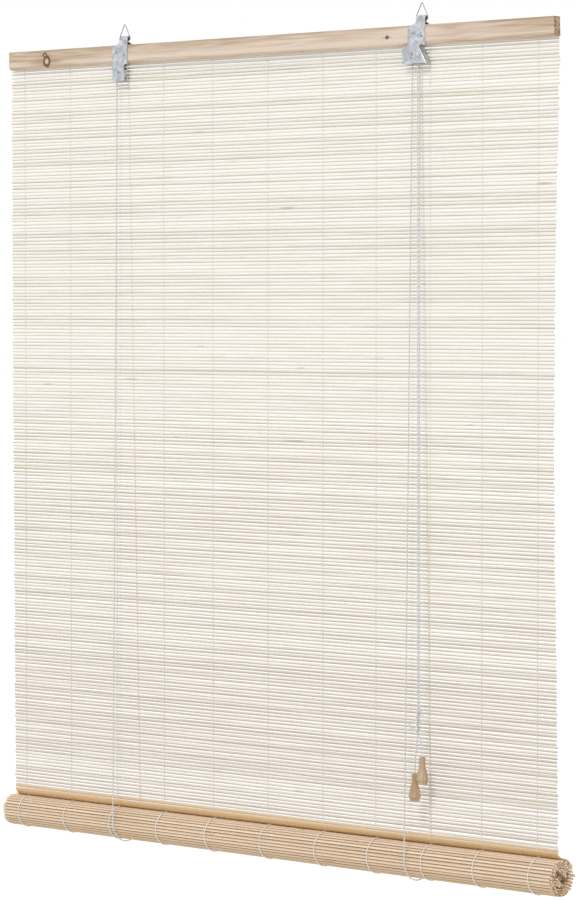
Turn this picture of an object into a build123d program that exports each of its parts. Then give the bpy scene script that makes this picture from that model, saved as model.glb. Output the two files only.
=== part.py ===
"""Bamboo roll-up blind, drawn part of the way up on its cords.

Millimetres. +X runs along the headrail to the right, +Y goes back to the wall, +Z is up.
The origin lies on the line of the two hooks that carry the blind, at its mid-width.
"""

import math
import os

from build123d import *

os.makedirs("parts", exist_ok=True)

# Headrail, a pine lath with a flat back and rounded front edges
rail_length = 890.8
rail_shift_x = 3.1
rail_height = 22.3
rail_depth = 10.4
rail_upper_round = 2.8
rail_lower_round = 4.5
rail_back_round = 1.5

# Mat of thin bamboo slats
mat_width = 896.0
mat_shift_x = -1.0
slat_pitch = 4.1
slat_width = 2.7
slat_thickness = 1.6
groove_depth = 0.45
selvedge = 6.0
mat_top_below_rail_top = 8.0
mat_bend_radius = 8.0

# Warps that bind the slats, front and back
warp_spots_x = (-425.6, -342.6, -259.7, -177.0, -92.9, -0.9, 88.7, 172.7, 256.2, 334.6, 416.9)
warp_width = 1.6
warp_thickness = 0.4
warp_play = 0.1

# The rest of the mat, rolled up at the bottom
roll_drop = 956.3
roll_behind_mat = 5.0
roll_outer_radius = 22.0
roll_turn_pitch = 2.3
roll_turns_wound = 4.2
roll_joint_gap = 0.3

# Bottom batten in the core of the roll
batten_length = 886.0
batten_width = 21.0
batten_thickness = 8.0
batten_round = 3.0
batten_tilt = -37.0
batten_off_axis = 1.6

# Folded sheet steel brackets
sheet = 1.0
left_neck_x = -234.5
right_neck_x = 251.8
neck_width = 13.6
plate_width = 26.2
shoulder_top = 3.0
shoulder_bottom = -3.2
housing_gap_below_rail = 0.9
housing_height = 20.2
fold_round = 0.9
left_cheek_from_neck = 0.4
left_housing_depth = 5.7
right_housing_depth = 7.8
right_wall_left_from_neck = -28.0
right_fold_top_from_neck = -2.9
right_fold_bottom_from_neck = 8.7
wall_step_top = -22.0
wall_step_bottom = -25.5
corner_round = 1.2
relief_radius = 1.6
relief_from_neck = 1.6
cord_notch_width = 4.0
cord_notch_height = 6.0
cheek_hole_radius = 1.4
cheek_hole_rise = 3.2
pinch_reach = 3.0
pinch_round = 0.9
leg_foot = 1.7
lip_round = 0.8
lip_length = 3.7

# Rolled eye on top of each bracket, and the wire ring in it
eye_height = 7.8
eye_inner_radius = 2.2
ring_wire_radius = 0.55
ring_play = 0.1
ring_half_base = 9.0
ring_height = 16.7
ring_corner_radius = 1.1
ring_apex_radius = 1.2

# Pulleys, their rivets and the loose roller of the cord lock
cord_radius = 0.8
pulley_cord_radius = 5.5
pulley_rim_radius = 6.2
pulley_floor_radius = 4.4
pulley_groove_top = 2.8
pulley_groove_floor = 1.4
pulley_groove_pitch = 3.2
axle_drop = 32.5
left_axle_x = -243.0
right_axle_x = 239.5
rivet_radius = 1.2
rivet_fit = 0.05
rivet_head_radius = 2.1
rivet_head_height = 0.9
rivet_tail_height = 0.6
lock_roller_radius = 2.5
lock_roller_play = 0.3
roller_chamfer = 0.4
stop_tab_width = 4.6

# Nails, staples and screw eyes in the headrail
nail_radius = 0.8
nail_head_radius = 1.9
nail_head_height = 0.8
nail_length = 8.5
nail_tip = 1.6
nail_fit = 0.03
nail_spots = ((-11.0, -8.8), (1.7, -12.4))
staple_wire = 0.8
staple_crown = 9.0
staple_bite = 5.0
staple_spots_x = (-378.0, -210.0, -42.0, 42.0, 210.0, 378.0)
screw_eye_drop = 4.2
screw_eye_reach = 11.4
screw_eye_bite = 7.0
screw_eye_radius = 2.4
screw_eye_wire_radius = 0.8
knot_radius = 2.0
seat_gap = 0.05

# Slings under the roll, and the pull cords with their knot and wooden bells
sling_clearance = 0.3
cord_joint_gap = 0.1
pull_cord_spacing = 2.4
tail_spread = 0.9
tail_bend_rise = 12.0
knot_x = 261.9
pull_roll_clearance = 2.1
knot_top_drop = 781.0
knot_length = 26.0
knot_upper_radius = 3.8
knot_lower_radius = 3.1
knot_waist_radius = 2.3
upper_pull_x = 267.6
lower_pull_x = 256.2
upper_pull_drop = 833.0
lower_pull_drop = 853.0
pull_length = 31.0
pull_top_radius = 3.2
pull_waist_radius = 2.7
pull_rim_radius = 5.6
pull_hole_radius = 1.2
pull_recess_radius = 3.4
pull_recess_depth = 9.0
pull_knot_radius = 2.4

# Places worked out from the sizes above
ring_axis_above_rail = eye_height + eye_inner_radius - ring_wire_radius - ring_play
ring_half_angle = math.atan2(ring_half_base, ring_height)
ring_apex_rounding = ring_apex_radius * (1 / math.sin(ring_half_angle) - 1)
hook_above_rail = ring_axis_above_rail + ring_height - ring_apex_rounding - ring_wire_radius
rail_top_z = -hook_above_rail
rail_bottom_z = rail_top_z - rail_height
rail_front_y = -eye_inner_radius
rail_back_y = rail_front_y + rail_depth

mat_y = rail_back_y + warp_play + warp_thickness + warp_play + slat_thickness / 2
mat_top_z = rail_top_z - mat_top_below_rail_top
roll_y = mat_y + roll_behind_mat
roll_z = rail_top_z - roll_drop
bend_end_y = mat_y + mat_bend_radius
roll_start_angle = math.asin((bend_end_y + roll_joint_gap - roll_y) / roll_outer_radius)
bend_end_z = roll_z + roll_outer_radius * math.cos(roll_start_angle)
bend_start_z = bend_end_z + mat_bend_radius
mat_straight = mat_top_z - bend_start_z
mat_length = mat_straight + mat_bend_radius * math.pi / 2
gap_width = slat_pitch - slat_width
slat_count = int((mat_length + gap_width) / slat_pitch)
mat_spare = mat_length - (slat_count * slat_pitch - gap_width)

plate_front_y = rail_front_y - sheet
plate_middle_y = rail_front_y - sheet / 2
eye_y = plate_middle_y + eye_inner_radius + sheet / 2
housing_top_z = rail_bottom_z - housing_gap_below_rail
housing_bottom_z = housing_top_z - housing_height
axle_z = rail_top_z - axle_drop
front_groove_y = rail_front_y + 2.6
rear_groove_y = front_groove_y + pulley_groove_pitch
left_cord_x = left_axle_x - pulley_cord_radius
right_cord_x = right_axle_x - pulley_cord_radius
lock_cord_x = right_axle_x + pulley_cord_radius
screw_eye_y = rail_back_y + screw_eye_reach
screw_eye_z = rail_top_z - screw_eye_drop
sling_radius = roll_outer_radius + slat_thickness / 2 + sling_clearance + cord_radius
roll_front_y = roll_y - roll_outer_radius - slat_thickness / 2
pull_y = roll_front_y - pull_roll_clearance - pull_rim_radius


def mat_point(along, outward):
    """Point (y, z) of the hanging mat: so far down from its top edge, so far to its front side."""
    if along <= mat_straight:
        return (mat_y - outward, mat_top_z - along)
    turn = (along - mat_straight) / mat_bend_radius
    reach = mat_bend_radius + outward
    return (bend_end_y - reach * math.cos(turn), bend_start_z - reach * math.sin(turn))


def roll_point(along, outward):
    """Point (y, z) of the rolled mat: so far along the spiral, so far off its middle line."""
    shrink = roll_turn_pitch / math.pi
    turned = (roll_outer_radius - math.sqrt(roll_outer_radius**2 - shrink * along)) / (shrink / 2)
    radius = roll_outer_radius - shrink / 2 * turned + outward
    angle = roll_start_angle + turned
    return (roll_y + radius * math.sin(angle), roll_z + radius * math.cos(angle))


def slatted_outline(place, first, count, open_gaps=lambda number: False):
    """Closed outline of a run of slats: flat slat faces with a groove at each gap, on both sides."""
    sides = []
    for side in (1, -1):
        face = side * slat_thickness / 2
        floor = side * (slat_thickness / 2 - groove_depth)
        points = [place(first, face)]
        for number in range(count - 1):
            slat_end = first + number * slat_pitch + slat_width
            if not open_gaps(number):
                points.append(place(slat_end, face))
                points.append(place(slat_end + gap_width / 2, floor))
                points.append(place(slat_end + gap_width, face))
        points.append(place(first + (count - 1) * slat_pitch + slat_width, face))
        sides.append(points)
    return sides[0] + sides[1][::-1]


def gap_middle(number):
    """Distance down from the mat's top edge to the middle of a gap."""
    return mat_spare + number * slat_pitch + slat_width + gap_width / 2


def is_slot(number):
    """Every gap of the straight mat is open right through."""
    return gap_middle(number) < mat_straight - slat_pitch


# Headrail, with the holes of everything that is driven into it
staple_z = mat_top_z - gap_middle(1)
with BuildPart() as headrail:
    with BuildSketch(Plane.YZ.offset(rail_shift_x)) as rail_section:
        with Locations((rail_front_y + rail_depth / 2, rail_top_z - rail_height / 2)):
            Rectangle(rail_depth, rail_height)
        front_corners = vertices().group_by(Axis.X)[0].sort_by(Axis.Y)
        fillet(front_corners[0], rail_lower_round)
        fillet(front_corners[-1], rail_upper_round)
        fillet(vertices().group_by(Axis.X)[-1], rail_back_round)
    extrude(amount=rail_length / 2, both=True)
    for neck_x in (left_neck_x, right_neck_x):
        for spot_x, spot_z in nail_spots:
            with BuildSketch(Plane.XZ.offset(-rail_front_y)):
                with Locations((neck_x + spot_x, rail_top_z + spot_z)):
                    Circle(nail_radius + nail_fit)
            extrude(amount=-(nail_length - sheet), mode=Mode.SUBTRACT)
    for staple_x in staple_spots_x:
        for leg_x in (staple_x - staple_crown / 2, staple_x + staple_crown / 2):
            with Locations((leg_x, rail_back_y - staple_bite / 2, staple_z)):
                Box(
                    staple_wire + 2 * nail_fit,
                    staple_bite + 2 * nail_fit,
                    staple_wire + 2 * nail_fit,
                    mode=Mode.SUBTRACT,
                )
    for eye_x in (left_cord_x, right_cord_x):
        with BuildSketch(Plane.XZ.offset(-rail_back_y)):
            with Locations((eye_x, screw_eye_z)):
                Circle(screw_eye_wire_radius + nail_fit)
        extrude(amount=screw_eye_bite + nail_fit, mode=Mode.SUBTRACT)
headrail.part.label = "headrail"
export_step(headrail.part, "parts/headrail.step")

# Hanging mat: slats with open gaps between them, tied along both selvedges
with BuildPart() as mat:
    with BuildSketch(Plane.YZ.offset(mat_shift_x)) as mat_section:
        with BuildLine() as mat_outline:
            Polyline(*slatted_outline(mat_point, mat_spare, slat_count, is_slot), close=True)
        make_face()
    extrude(amount=mat_width / 2, both=True)
    slots = [
        (mat_shift_x, mat_y, mat_top_z - gap_middle(number))
        for number in range(slat_count - 1)
        if is_slot(number)
    ]
    with Locations(*slots):
        Box(mat_width - 2 * selvedge, 2 * slat_thickness, gap_width, mode=Mode.SUBTRACT)
mat.part.label = "mat"
export_step(mat.part, "parts/mat.step")

# Warps, one strand on the front and one on the back of the slats at each place
with BuildPart() as warp_threads:
    strand_length = mat_straight - mat_spare
    strand_offset = slat_thickness / 2 + warp_play + warp_thickness / 2
    for side in (-1, 1):
        strand_y = mat_y + side * strand_offset
        strand_z = mat_top_z - mat_spare - strand_length / 2
        with Locations(*[(warp_x, strand_y, strand_z) for warp_x in warp_spots_x]):
            Box(warp_width, warp_thickness, strand_length)
warp_threads.part.label = "warp_threads"
export_step(warp_threads.part, "parts/warp_threads.step")

# Staples that hold the mat to the back of the headrail
with BuildPart() as mat_staples:
    crown_y = mat_y + slat_thickness / 2 + seat_gap + staple_wire / 2
    leg_length = crown_y - rail_back_y + staple_bite
    for staple_x in staple_spots_x:
        with Locations((staple_x, crown_y, staple_z)):
            Box(staple_crown + staple_wire, staple_wire, staple_wire)
        for leg_x in (staple_x - staple_crown / 2, staple_x + staple_crown / 2):
            with Locations((leg_x, crown_y - leg_length / 2, staple_z)):
                Box(staple_wire, leg_length, staple_wire)
mat_staples.part.label = "mat_staples"
export_step(mat_staples.part, "parts/mat_staples.step")

# Rolled part of the mat: one spiral band of slats
spiral_turn = 2 * math.pi * roll_turns_wound
spiral_length = roll_outer_radius * spiral_turn - roll_turn_pitch * spiral_turn**2 / (4 * math.pi)
roll_slat_count = int(spiral_length / slat_pitch)
with BuildPart() as roll_turns:
    with BuildSketch(Plane.YZ.offset(mat_shift_x)) as roll_section:
        with BuildLine() as roll_outline:
            Polyline(*slatted_outline(roll_point, 0, roll_slat_count), close=True)
        make_face()
    extrude(amount=mat_width / 2, both=True)
roll_turns.part.label = "roll_turns"
export_step(roll_turns.part, "parts/roll_turns.step")

# Bottom batten in the core of the roll
with BuildPart() as bottom_batten:
    with BuildSketch(Plane.YZ.offset(mat_shift_x)) as batten_section:
        with Locations(Location((roll_y, roll_z, 0), (0, 0, batten_tilt))):
            with Locations((-batten_off_axis, 0)):
                RectangleRounded(batten_width, batten_thickness, batten_round)
    extrude(amount=batten_length / 2, both=True)
bottom_batten.part.label = "bottom_batten"
export_step(bottom_batten.part, "parts/bottom_batten.step")


def folded_bracket(neck_x, sheet_outline, fold_top, fold_bottom, depth, axle_x):
    """Bracket of one folded sheet: flat front, eye and rear leg on top, pulley housing below.

    sheet_outline holds the front sheet's corners as (across from the neck, up from the rail's top).
    fold_top and fold_bottom are the (x, z) ends of the fold between the front and the cheek, and
    depth is the free depth inside the housing.
    """
    slant = math.atan2(fold_bottom[0] - fold_top[0], fold_top[1] - fold_bottom[1])
    sheet_across = sheet / math.cos(slant)
    fold_middle_x = (fold_top[0] + fold_bottom[0]) / 2
    fold_middle_z = (fold_top[1] + fold_bottom[1]) / 2
    wall_left_x = neck_x + min(across for across, up in sheet_outline)
    eye_z = rail_top_z + eye_height
    eye_middle_radius = eye_inner_radius + sheet / 2
    curl_end_angle = math.radians(-60)
    curl_end = Vector(
        eye_y + eye_middle_radius * math.cos(curl_end_angle),
        eye_z + eye_middle_radius * math.sin(curl_end_angle),
    )
    pinch = curl_end + Vector(math.sin(curl_end_angle), -math.cos(curl_end_angle)) * pinch_reach
    leg_z = rail_top_z + sheet / 2
    lip_y = rail_back_y + sheet / 2
    with BuildPart() as bracket:
        with BuildSketch(Plane.XZ.offset(-rail_front_y)) as front_sheet:
            with BuildLine() as front_outline:
                corners = [(neck_x + across, rail_top_z + up) for across, up in sheet_outline]
                Polyline(*corners, close=True)
            make_face()
            left_corners = vertices().filter_by(
                lambda corner: corner.X < neck_x - neck_width / 2 + 0.01 and corner.Y < eye_z - 0.01
            )
            fillet(left_corners, corner_round)
        extrude(amount=sheet)
        with BuildSketch(Plane.XZ.offset(-rail_front_y - depth - sheet)) as back_wall:
            with BuildLine() as back_outline:
                Polyline(
                    (wall_left_x, fold_top[1]),
                    fold_top,
                    fold_bottom,
                    (wall_left_x, fold_bottom[1]),
                    close=True,
                )
            make_face()
            fillet(vertices().group_by(Axis.X)[0], corner_round)
        extrude(amount=sheet)
        with BuildSketch(Plane.XZ.offset(-rail_front_y - depth - sheet)) as cheek_section:
            with BuildLine() as cheek_outline:
                Polyline(
                    fold_top,
                    fold_bottom,
                    (fold_bottom[0] - sheet_across, fold_bottom[1]),
                    (fold_top[0] - sheet_across, fold_top[1]),
                    close=True,
                )
            make_face()
        extrude(amount=depth + 2 * sheet)
        fold_edges = bracket.edges().filter_by(
            lambda edge: math.hypot(
                edge.center().X - fold_middle_x, edge.center().Z - fold_middle_z
            )
            < 0.05
        )
        fillet(fold_edges, fold_round)
        with BuildSketch(Plane.YZ.offset(neck_x)) as eye_section:
            with BuildLine() as eye_line:
                Line((plate_middle_y, rail_top_z + shoulder_top), (plate_middle_y, eye_z))
                CenterArc((eye_y, eye_z), eye_middle_radius, 180, math.degrees(curl_end_angle) - 180)
                FilletPolyline(
                    (curl_end.X, curl_end.Y),
                    (pinch.X, pinch.Y),
                    (rail_back_y - leg_foot, leg_z),
                    (lip_y, leg_z),
                    (lip_y, leg_z - lip_length),
                    radius=(pinch_round, pinch_round, lip_round),
                )
            trace(line_width=sheet)
        extrude(amount=neck_width / 2, both=True)
        with Locations((axle_x, 0, axle_z)):
            Cylinder(
                rivet_radius + rivet_fit, 4 * rail_depth, rotation=(90, 0, 0), mode=Mode.SUBTRACT
            )
        with Locations(*[(neck_x + x, rail_front_y, rail_top_z + z) for x, z in nail_spots]):
            Cylinder(nail_radius + rivet_fit, 4 * sheet, rotation=(90, 0, 0), mode=Mode.SUBTRACT)
    return bracket


# Left bracket: straight cheek with a notch for the cross cord
plate_left = neck_width / 2 - plate_width
below_rail = housing_top_z - rail_top_z
housing_foot = housing_bottom_z - rail_top_z
with BuildPart() as left_bracket:
    left_sheet_outline = (
        (-neck_width / 2, eye_height),
        (neck_width / 2, eye_height),
        (neck_width / 2, below_rail),
        (left_cheek_from_neck, below_rail),
        (left_cheek_from_neck, housing_foot),
        (plate_left, housing_foot),
        (plate_left, shoulder_bottom),
        (-neck_width / 2, shoulder_top),
    )
    left_cheek_x = left_neck_x + left_cheek_from_neck
    left_folded = folded_bracket(
        left_neck_x,
        left_sheet_outline,
        (left_cheek_x, housing_top_z),
        (left_cheek_x, housing_bottom_z),
        left_housing_depth,
        left_axle_x,
    )
    add(left_folded.part)
    with Locations((left_cheek_x, front_groove_y, axle_z + pulley_cord_radius)):
        Box(4 * sheet, cord_notch_width, cord_notch_height, mode=Mode.SUBTRACT)
    with Locations((left_cheek_x, front_groove_y, housing_bottom_z + cheek_hole_rise)):
        Cylinder(cheek_hole_radius, 4 * sheet, rotation=(0, 90, 0), mode=Mode.SUBTRACT)
left_bracket.part.label = "left_bracket"
export_step(left_bracket.part, "parts/left_bracket.step")

# Right bracket: slanted cheek that the roller wedges against, and a stop under the roller
fold_top = (right_neck_x + right_fold_top_from_neck, housing_top_z)
fold_bottom = (right_neck_x + right_fold_bottom_from_neck, housing_bottom_z)
with BuildPart() as right_bracket:
    right_sheet_outline = (
        (-neck_width / 2, eye_height),
        (neck_width / 2, eye_height),
        (neck_width / 2, below_rail),
        (right_fold_top_from_neck, below_rail),
        (right_fold_bottom_from_neck, housing_foot),
        (right_wall_left_from_neck, housing_foot),
        (right_wall_left_from_neck, wall_step_bottom),
        (plate_left, wall_step_top),
        (plate_left, shoulder_bottom),
        (-neck_width / 2, shoulder_top),
    )
    right_folded = folded_bracket(
        right_neck_x,
        right_sheet_outline,
        fold_top,
        fold_bottom,
        right_housing_depth,
        right_axle_x,
    )
    add(right_folded.part)
    with Locations((right_neck_x + relief_from_neck, rail_front_y, housing_top_z)):
        Cylinder(relief_radius, 4 * sheet, rotation=(90, 0, 0), mode=Mode.SUBTRACT)
    with Locations(
        (
            fold_bottom[0] - sheet - stop_tab_width / 2,
            rail_front_y + right_housing_depth / 2,
            housing_bottom_z + sheet / 2,
        )
    ):
        Box(stop_tab_width, right_housing_depth, sheet)
right_bracket.part.label = "right_bracket"
export_step(right_bracket.part, "parts/right_bracket.step")

# Round-headed nails through the brackets into the headrail
with BuildPart() as bracket_nails:
    for neck_x in (left_neck_x, right_neck_x):
        for spot_x, spot_z in nail_spots:
            nail_place = (neck_x + spot_x, 0, rail_top_z + spot_z)
            with BuildSketch(Plane(nail_place, x_dir=(0, 1, 0), z_dir=(1, 0, 0))) as nail_half:
                with BuildLine() as nail_outline:
                    nail_dome = ThreePointArc(
                        (plate_front_y - nail_head_height, 0),
                        (plate_front_y - 0.75 * nail_head_height, 0.5 * nail_head_radius),
                        (plate_front_y, nail_head_radius),
                    )
                    Polyline(
                        nail_dome @ 1,
                        (plate_front_y, nail_radius),
                        (plate_front_y + nail_length - nail_tip, nail_radius),
                        (plate_front_y + nail_length, 0),
                        nail_dome @ 0,
                    )
                make_face()
            revolve(axis=Axis(nail_place, (0, 1, 0)))
bracket_nails.part.label = "bracket_nails"
export_step(bracket_nails.part, "parts/bracket_nails.step")

# Rivets that the pulleys turn on
for side, axle_x, depth in (
    ("left", left_axle_x, left_housing_depth),
    ("right", right_axle_x, right_housing_depth),
):
    back_y = rail_front_y + depth + sheet
    axle_place = (axle_x, 0, axle_z)
    with BuildPart() as rivet:
        with BuildSketch(Plane(axle_place, x_dir=(0, 1, 0), z_dir=(1, 0, 0))) as rivet_half:
            with BuildLine() as rivet_outline:
                rivet_dome = ThreePointArc(
                    (plate_front_y - rivet_head_height, 0),
                    (plate_front_y - 0.75 * rivet_head_height, 0.5 * rivet_head_radius),
                    (plate_front_y, rivet_head_radius),
                )
                Polyline(
                    rivet_dome @ 1,
                    (plate_front_y, rivet_radius),
                    (back_y, rivet_radius),
                    (back_y, rivet_head_radius),
                    (back_y + rivet_tail_height, rivet_head_radius),
                    (back_y + rivet_tail_height, 0),
                    rivet_dome @ 0,
                )
            make_face()
        revolve(axis=Axis(axle_place, (0, 1, 0)))
    rivet.part.label = f"{side}_rivet"
    export_step(rivet.part, f"parts/{side}_rivet.step")


def grooved_pulley(label, axle_x, groove_middles):
    """Pulley with one V groove for each cord, and a running bore for its rivet."""
    axle_place = (axle_x, 0, axle_z)
    half_pitch = pulley_groove_pitch / 2
    with BuildPart() as pulley:
        with BuildSketch(Plane(axle_place, x_dir=(0, 1, 0), z_dir=(1, 0, 0))) as pulley_half:
            with BuildLine() as pulley_outline:
                rim = [(groove_middles[0] - half_pitch, pulley_rim_radius)]
                for middle in groove_middles:
                    rim += [
                        (middle - pulley_groove_top / 2, pulley_rim_radius),
                        (middle - pulley_groove_floor / 2, pulley_floor_radius),
                        (middle + pulley_groove_floor / 2, pulley_floor_radius),
                        (middle + pulley_groove_top / 2, pulley_rim_radius),
                    ]
                rim.append((groove_middles[-1] + half_pitch, pulley_rim_radius))
                bore_radius = rivet_radius + rivet_fit
                Polyline(
                    *rim,
                    (groove_middles[-1] + half_pitch, bore_radius),
                    (groove_middles[0] - half_pitch, bore_radius),
                    close=True,
                )
            make_face()
        revolve(axis=Axis(axle_place, (0, 1, 0)))
    pulley.part.label = label
    return pulley


left_pulley = grooved_pulley("left_pulley", left_axle_x, (front_groove_y,))
export_step(left_pulley.part, "parts/left_pulley.step")
right_pulley = grooved_pulley("right_pulley", right_axle_x, (front_groove_y, rear_groove_y))
export_step(right_pulley.part, "parts/right_pulley.step")

# Loose roller between the cords and the slanted cheek, at the height where it touches both
cheek_slant = math.atan2(fold_bottom[0] - fold_top[0], fold_top[1] - fold_bottom[1])
roller_x = lock_cord_x + cord_radius + lock_roller_play + lock_roller_radius
cheek_inner_x = roller_x + (lock_roller_radius + lock_roller_play) / math.cos(cheek_slant)
fold_inner_x = fold_top[0] - sheet / math.cos(cheek_slant)
roller_z = fold_top[1] - (cheek_inner_x - fold_inner_x) / math.tan(cheek_slant)
with BuildPart() as lock_roller:
    with Locations((roller_x, rail_front_y + right_housing_depth / 2, roller_z)):
        Cylinder(
            lock_roller_radius,
            right_housing_depth - 2 * lock_roller_play,
            rotation=(90, 0, 0),
        )
    chamfer(lock_roller.edges().filter_by(GeomType.CIRCLE), roller_chamfer)
lock_roller.part.label = "lock_roller"
export_step(lock_roller.part, "parts/lock_roller.step")

# Triangular wire rings in the eyes
ring_axis_z = rail_top_z + ring_axis_above_rail
for side, neck_x in (("left", left_neck_x), ("right", right_neck_x)):
    with BuildPart() as ring:
        with BuildLine(Plane.XZ.offset(-eye_y)) as ring_line:
            FilletPolyline(
                (neck_x - ring_half_base, ring_axis_z),
                (neck_x + ring_half_base, ring_axis_z),
                (neck_x, ring_axis_z + ring_height),
                radius=(ring_corner_radius, ring_corner_radius, ring_apex_radius),
                close=True,
            )
        with BuildSketch(Plane(ring_line.line @ 0, z_dir=ring_line.line % 0)) as ring_wire:
            Circle(ring_wire_radius)
        sweep()
    ring.part.label = f"{side}_ring"
    export_step(ring.part, f"parts/{side}_ring.step")

# Screw eyes in the back of the headrail, with the rear cords' knots on top
knot_rise = math.sqrt(
    (knot_radius + screw_eye_wire_radius + seat_gap) ** 2 - screw_eye_radius**2
)
with BuildPart() as screw_eyes:
    shank_end_y = screw_eye_y - screw_eye_radius
    shank_length = shank_end_y - rail_back_y + screw_eye_bite
    for eye_x in (left_cord_x, right_cord_x):
        with Locations((eye_x, screw_eye_y, screw_eye_z)):
            Torus(screw_eye_radius, screw_eye_wire_radius)
        with Locations((eye_x, shank_end_y - shank_length / 2, screw_eye_z)):
            Cylinder(screw_eye_wire_radius, shank_length, rotation=(90, 0, 0))
screw_eyes.part.label = "screw_eyes"
export_step(screw_eyes.part, "parts/screw_eyes.step")

with BuildPart() as rear_knots:
    with Locations(*[(x, screw_eye_y, screw_eye_z + knot_rise) for x in (left_cord_x, right_cord_x)]):
        Sphere(knot_radius)
rear_knots.part.label = "rear_knots"
export_step(rear_knots.part, "parts/rear_knots.step")


def cord_run(label, *points, radii=None):
    """Cord along straight runs, joined by arcs where radii are given, written to its own file."""
    with BuildPart() as run:
        with BuildLine() as route:
            if radii:
                FilletPolyline(*points, radius=radii)
            else:
                Line(*points)
        with BuildSketch(Plane(route.line @ 0, z_dir=route.line % 0)) as cord_section:
            Circle(cord_radius)
        sweep()
    run.part.label = label
    export_step(run.part, f"parts/{label}.step")
    return run


def sling_angle(anchor, side):
    """Angle where a cord from an anchor (y, z) meets the sling's circle, side -1 front, 1 back."""
    across = anchor[0] - roll_y
    up = anchor[1] - roll_z
    return math.atan2(up, across) - side * math.acos(sling_radius / math.hypot(across, up))


def lift_run(label, cord_x, anchor, side):
    """Straight lift cord from its anchor (y, z) down to where it meets the sling."""
    angle = sling_angle(anchor, side)
    top = Vector(cord_x, anchor[0], anchor[1])
    meeting = Vector(
        cord_x, roll_y + sling_radius * math.cos(angle), roll_z + sling_radius * math.sin(angle)
    )
    end = meeting + (top - meeting).normalized() * cord_joint_gap
    return cord_run(label, top, end)


# Lift cords in front of the mat and behind it, and the slings that carry the roll
rear_anchor = (screw_eye_y, screw_eye_z + knot_rise - knot_radius - seat_gap)
for side, cord_x, groove_y in (
    ("left", left_cord_x, front_groove_y),
    ("right", right_cord_x, rear_groove_y),
):
    front_anchor = (groove_y, axle_z - cord_joint_gap)
    lift_run(f"{side}_front_cord", cord_x, front_anchor, -1)
    lift_run(f"{side}_rear_cord", cord_x, rear_anchor, 1)
    front_angle = math.degrees(sling_angle(front_anchor, -1))
    rear_angle = math.degrees(sling_angle(rear_anchor, 1))
    with BuildPart() as sling:
        with BuildLine(Plane.YZ.offset(cord_x)) as sling_line:
            CenterArc((roll_y, roll_z), sling_radius, front_angle, 360 + rear_angle - front_angle)
        with BuildSketch(Plane(sling_line.line @ 0, z_dir=sling_line.line % 0)) as sling_section:
            Circle(cord_radius)
        sweep()
    sling.part.label = f"{side}_sling"
    export_step(sling.part, f"parts/{side}_sling.step")

# Cross cord: up and over the left pulley, under the headrail, over the right pulley and down
with BuildPart() as cross_cord:
    with BuildLine(Plane.XZ.offset(-front_groove_y)) as cross_route:
        left_turn = CenterArc((left_axle_x, axle_z), pulley_cord_radius, 180, -90)
        right_turn = CenterArc((right_axle_x, axle_z), pulley_cord_radius, 90, -90)
        Line(left_turn @ 1, right_turn @ 0)
        Line(right_turn @ 1, (lock_cord_x, housing_bottom_z))
    with BuildSketch(Plane.XY.offset(axle_z)) as cross_section:
        with Locations((left_cord_x, front_groove_y)):
            Circle(cord_radius)
    sweep()
cross_cord.part.label = "cross_cord"
export_step(cross_cord.part, "parts/cross_cord.step")

# Right lift cord: up and over the right pulley, and down beside the cross cord
with BuildPart() as lock_cord:
    with BuildLine(Plane.XZ.offset(-rear_groove_y)) as lock_route:
        over_pulley = CenterArc((right_axle_x, axle_z), pulley_cord_radius, 180, -180)
        Line(over_pulley @ 1, (lock_cord_x, housing_bottom_z))
    with BuildSketch(Plane.XY.offset(axle_z)) as lock_section:
        with Locations((right_cord_x, rear_groove_y)):
            Circle(cord_radius)
    sweep()
lock_cord.part.label = "lock_cord"
export_step(lock_cord.part, "parts/lock_cord.step")

# Pull cords from the lock down to the knot that ties them together
knot_top_z = rail_top_z - knot_top_drop
knot_bottom_z = knot_top_z - knot_length
for place, groove_y, knot_side in (("front", front_groove_y, -1), ("rear", rear_groove_y, 1)):
    cord_run(
        f"{place}_pull_cord",
        (lock_cord_x, groove_y, housing_bottom_z - cord_joint_gap),
        (knot_x + knot_side * pull_cord_spacing / 2, pull_y, knot_top_z + cord_joint_gap),
    )

with BuildPart() as cord_knot:
    with Locations((knot_x, pull_y, knot_top_z - knot_upper_radius)):
        Sphere(knot_upper_radius)
    with Locations((knot_x, pull_y, knot_bottom_z + knot_lower_radius)):
        Sphere(knot_lower_radius)
    with Locations((knot_x, pull_y, (knot_top_z + knot_bottom_z) / 2)):
        Cylinder(knot_waist_radius, knot_length - 2 * knot_lower_radius)
cord_knot.part.label = "cord_knot"
export_step(cord_knot.part, "parts/cord_knot.step")

# Turned wooden bells, the tails that carry them and the stopper knots inside
stopper_drop = (
    pull_length
    - pull_recess_depth
    + math.sqrt(pull_knot_radius**2 - pull_hole_radius**2)
    + seat_gap
)
tail_end_drop = stopper_drop - pull_knot_radius - seat_gap
with BuildPart() as pull_end_knots:
    for pull_x, pull_drop in ((upper_pull_x, upper_pull_drop), (lower_pull_x, lower_pull_drop)):
        with Locations((pull_x, pull_y, rail_top_z - pull_drop - stopper_drop)):
            Sphere(pull_knot_radius)
pull_end_knots.part.label = "pull_end_knots"
export_step(pull_end_knots.part, "parts/pull_end_knots.step")

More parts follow.
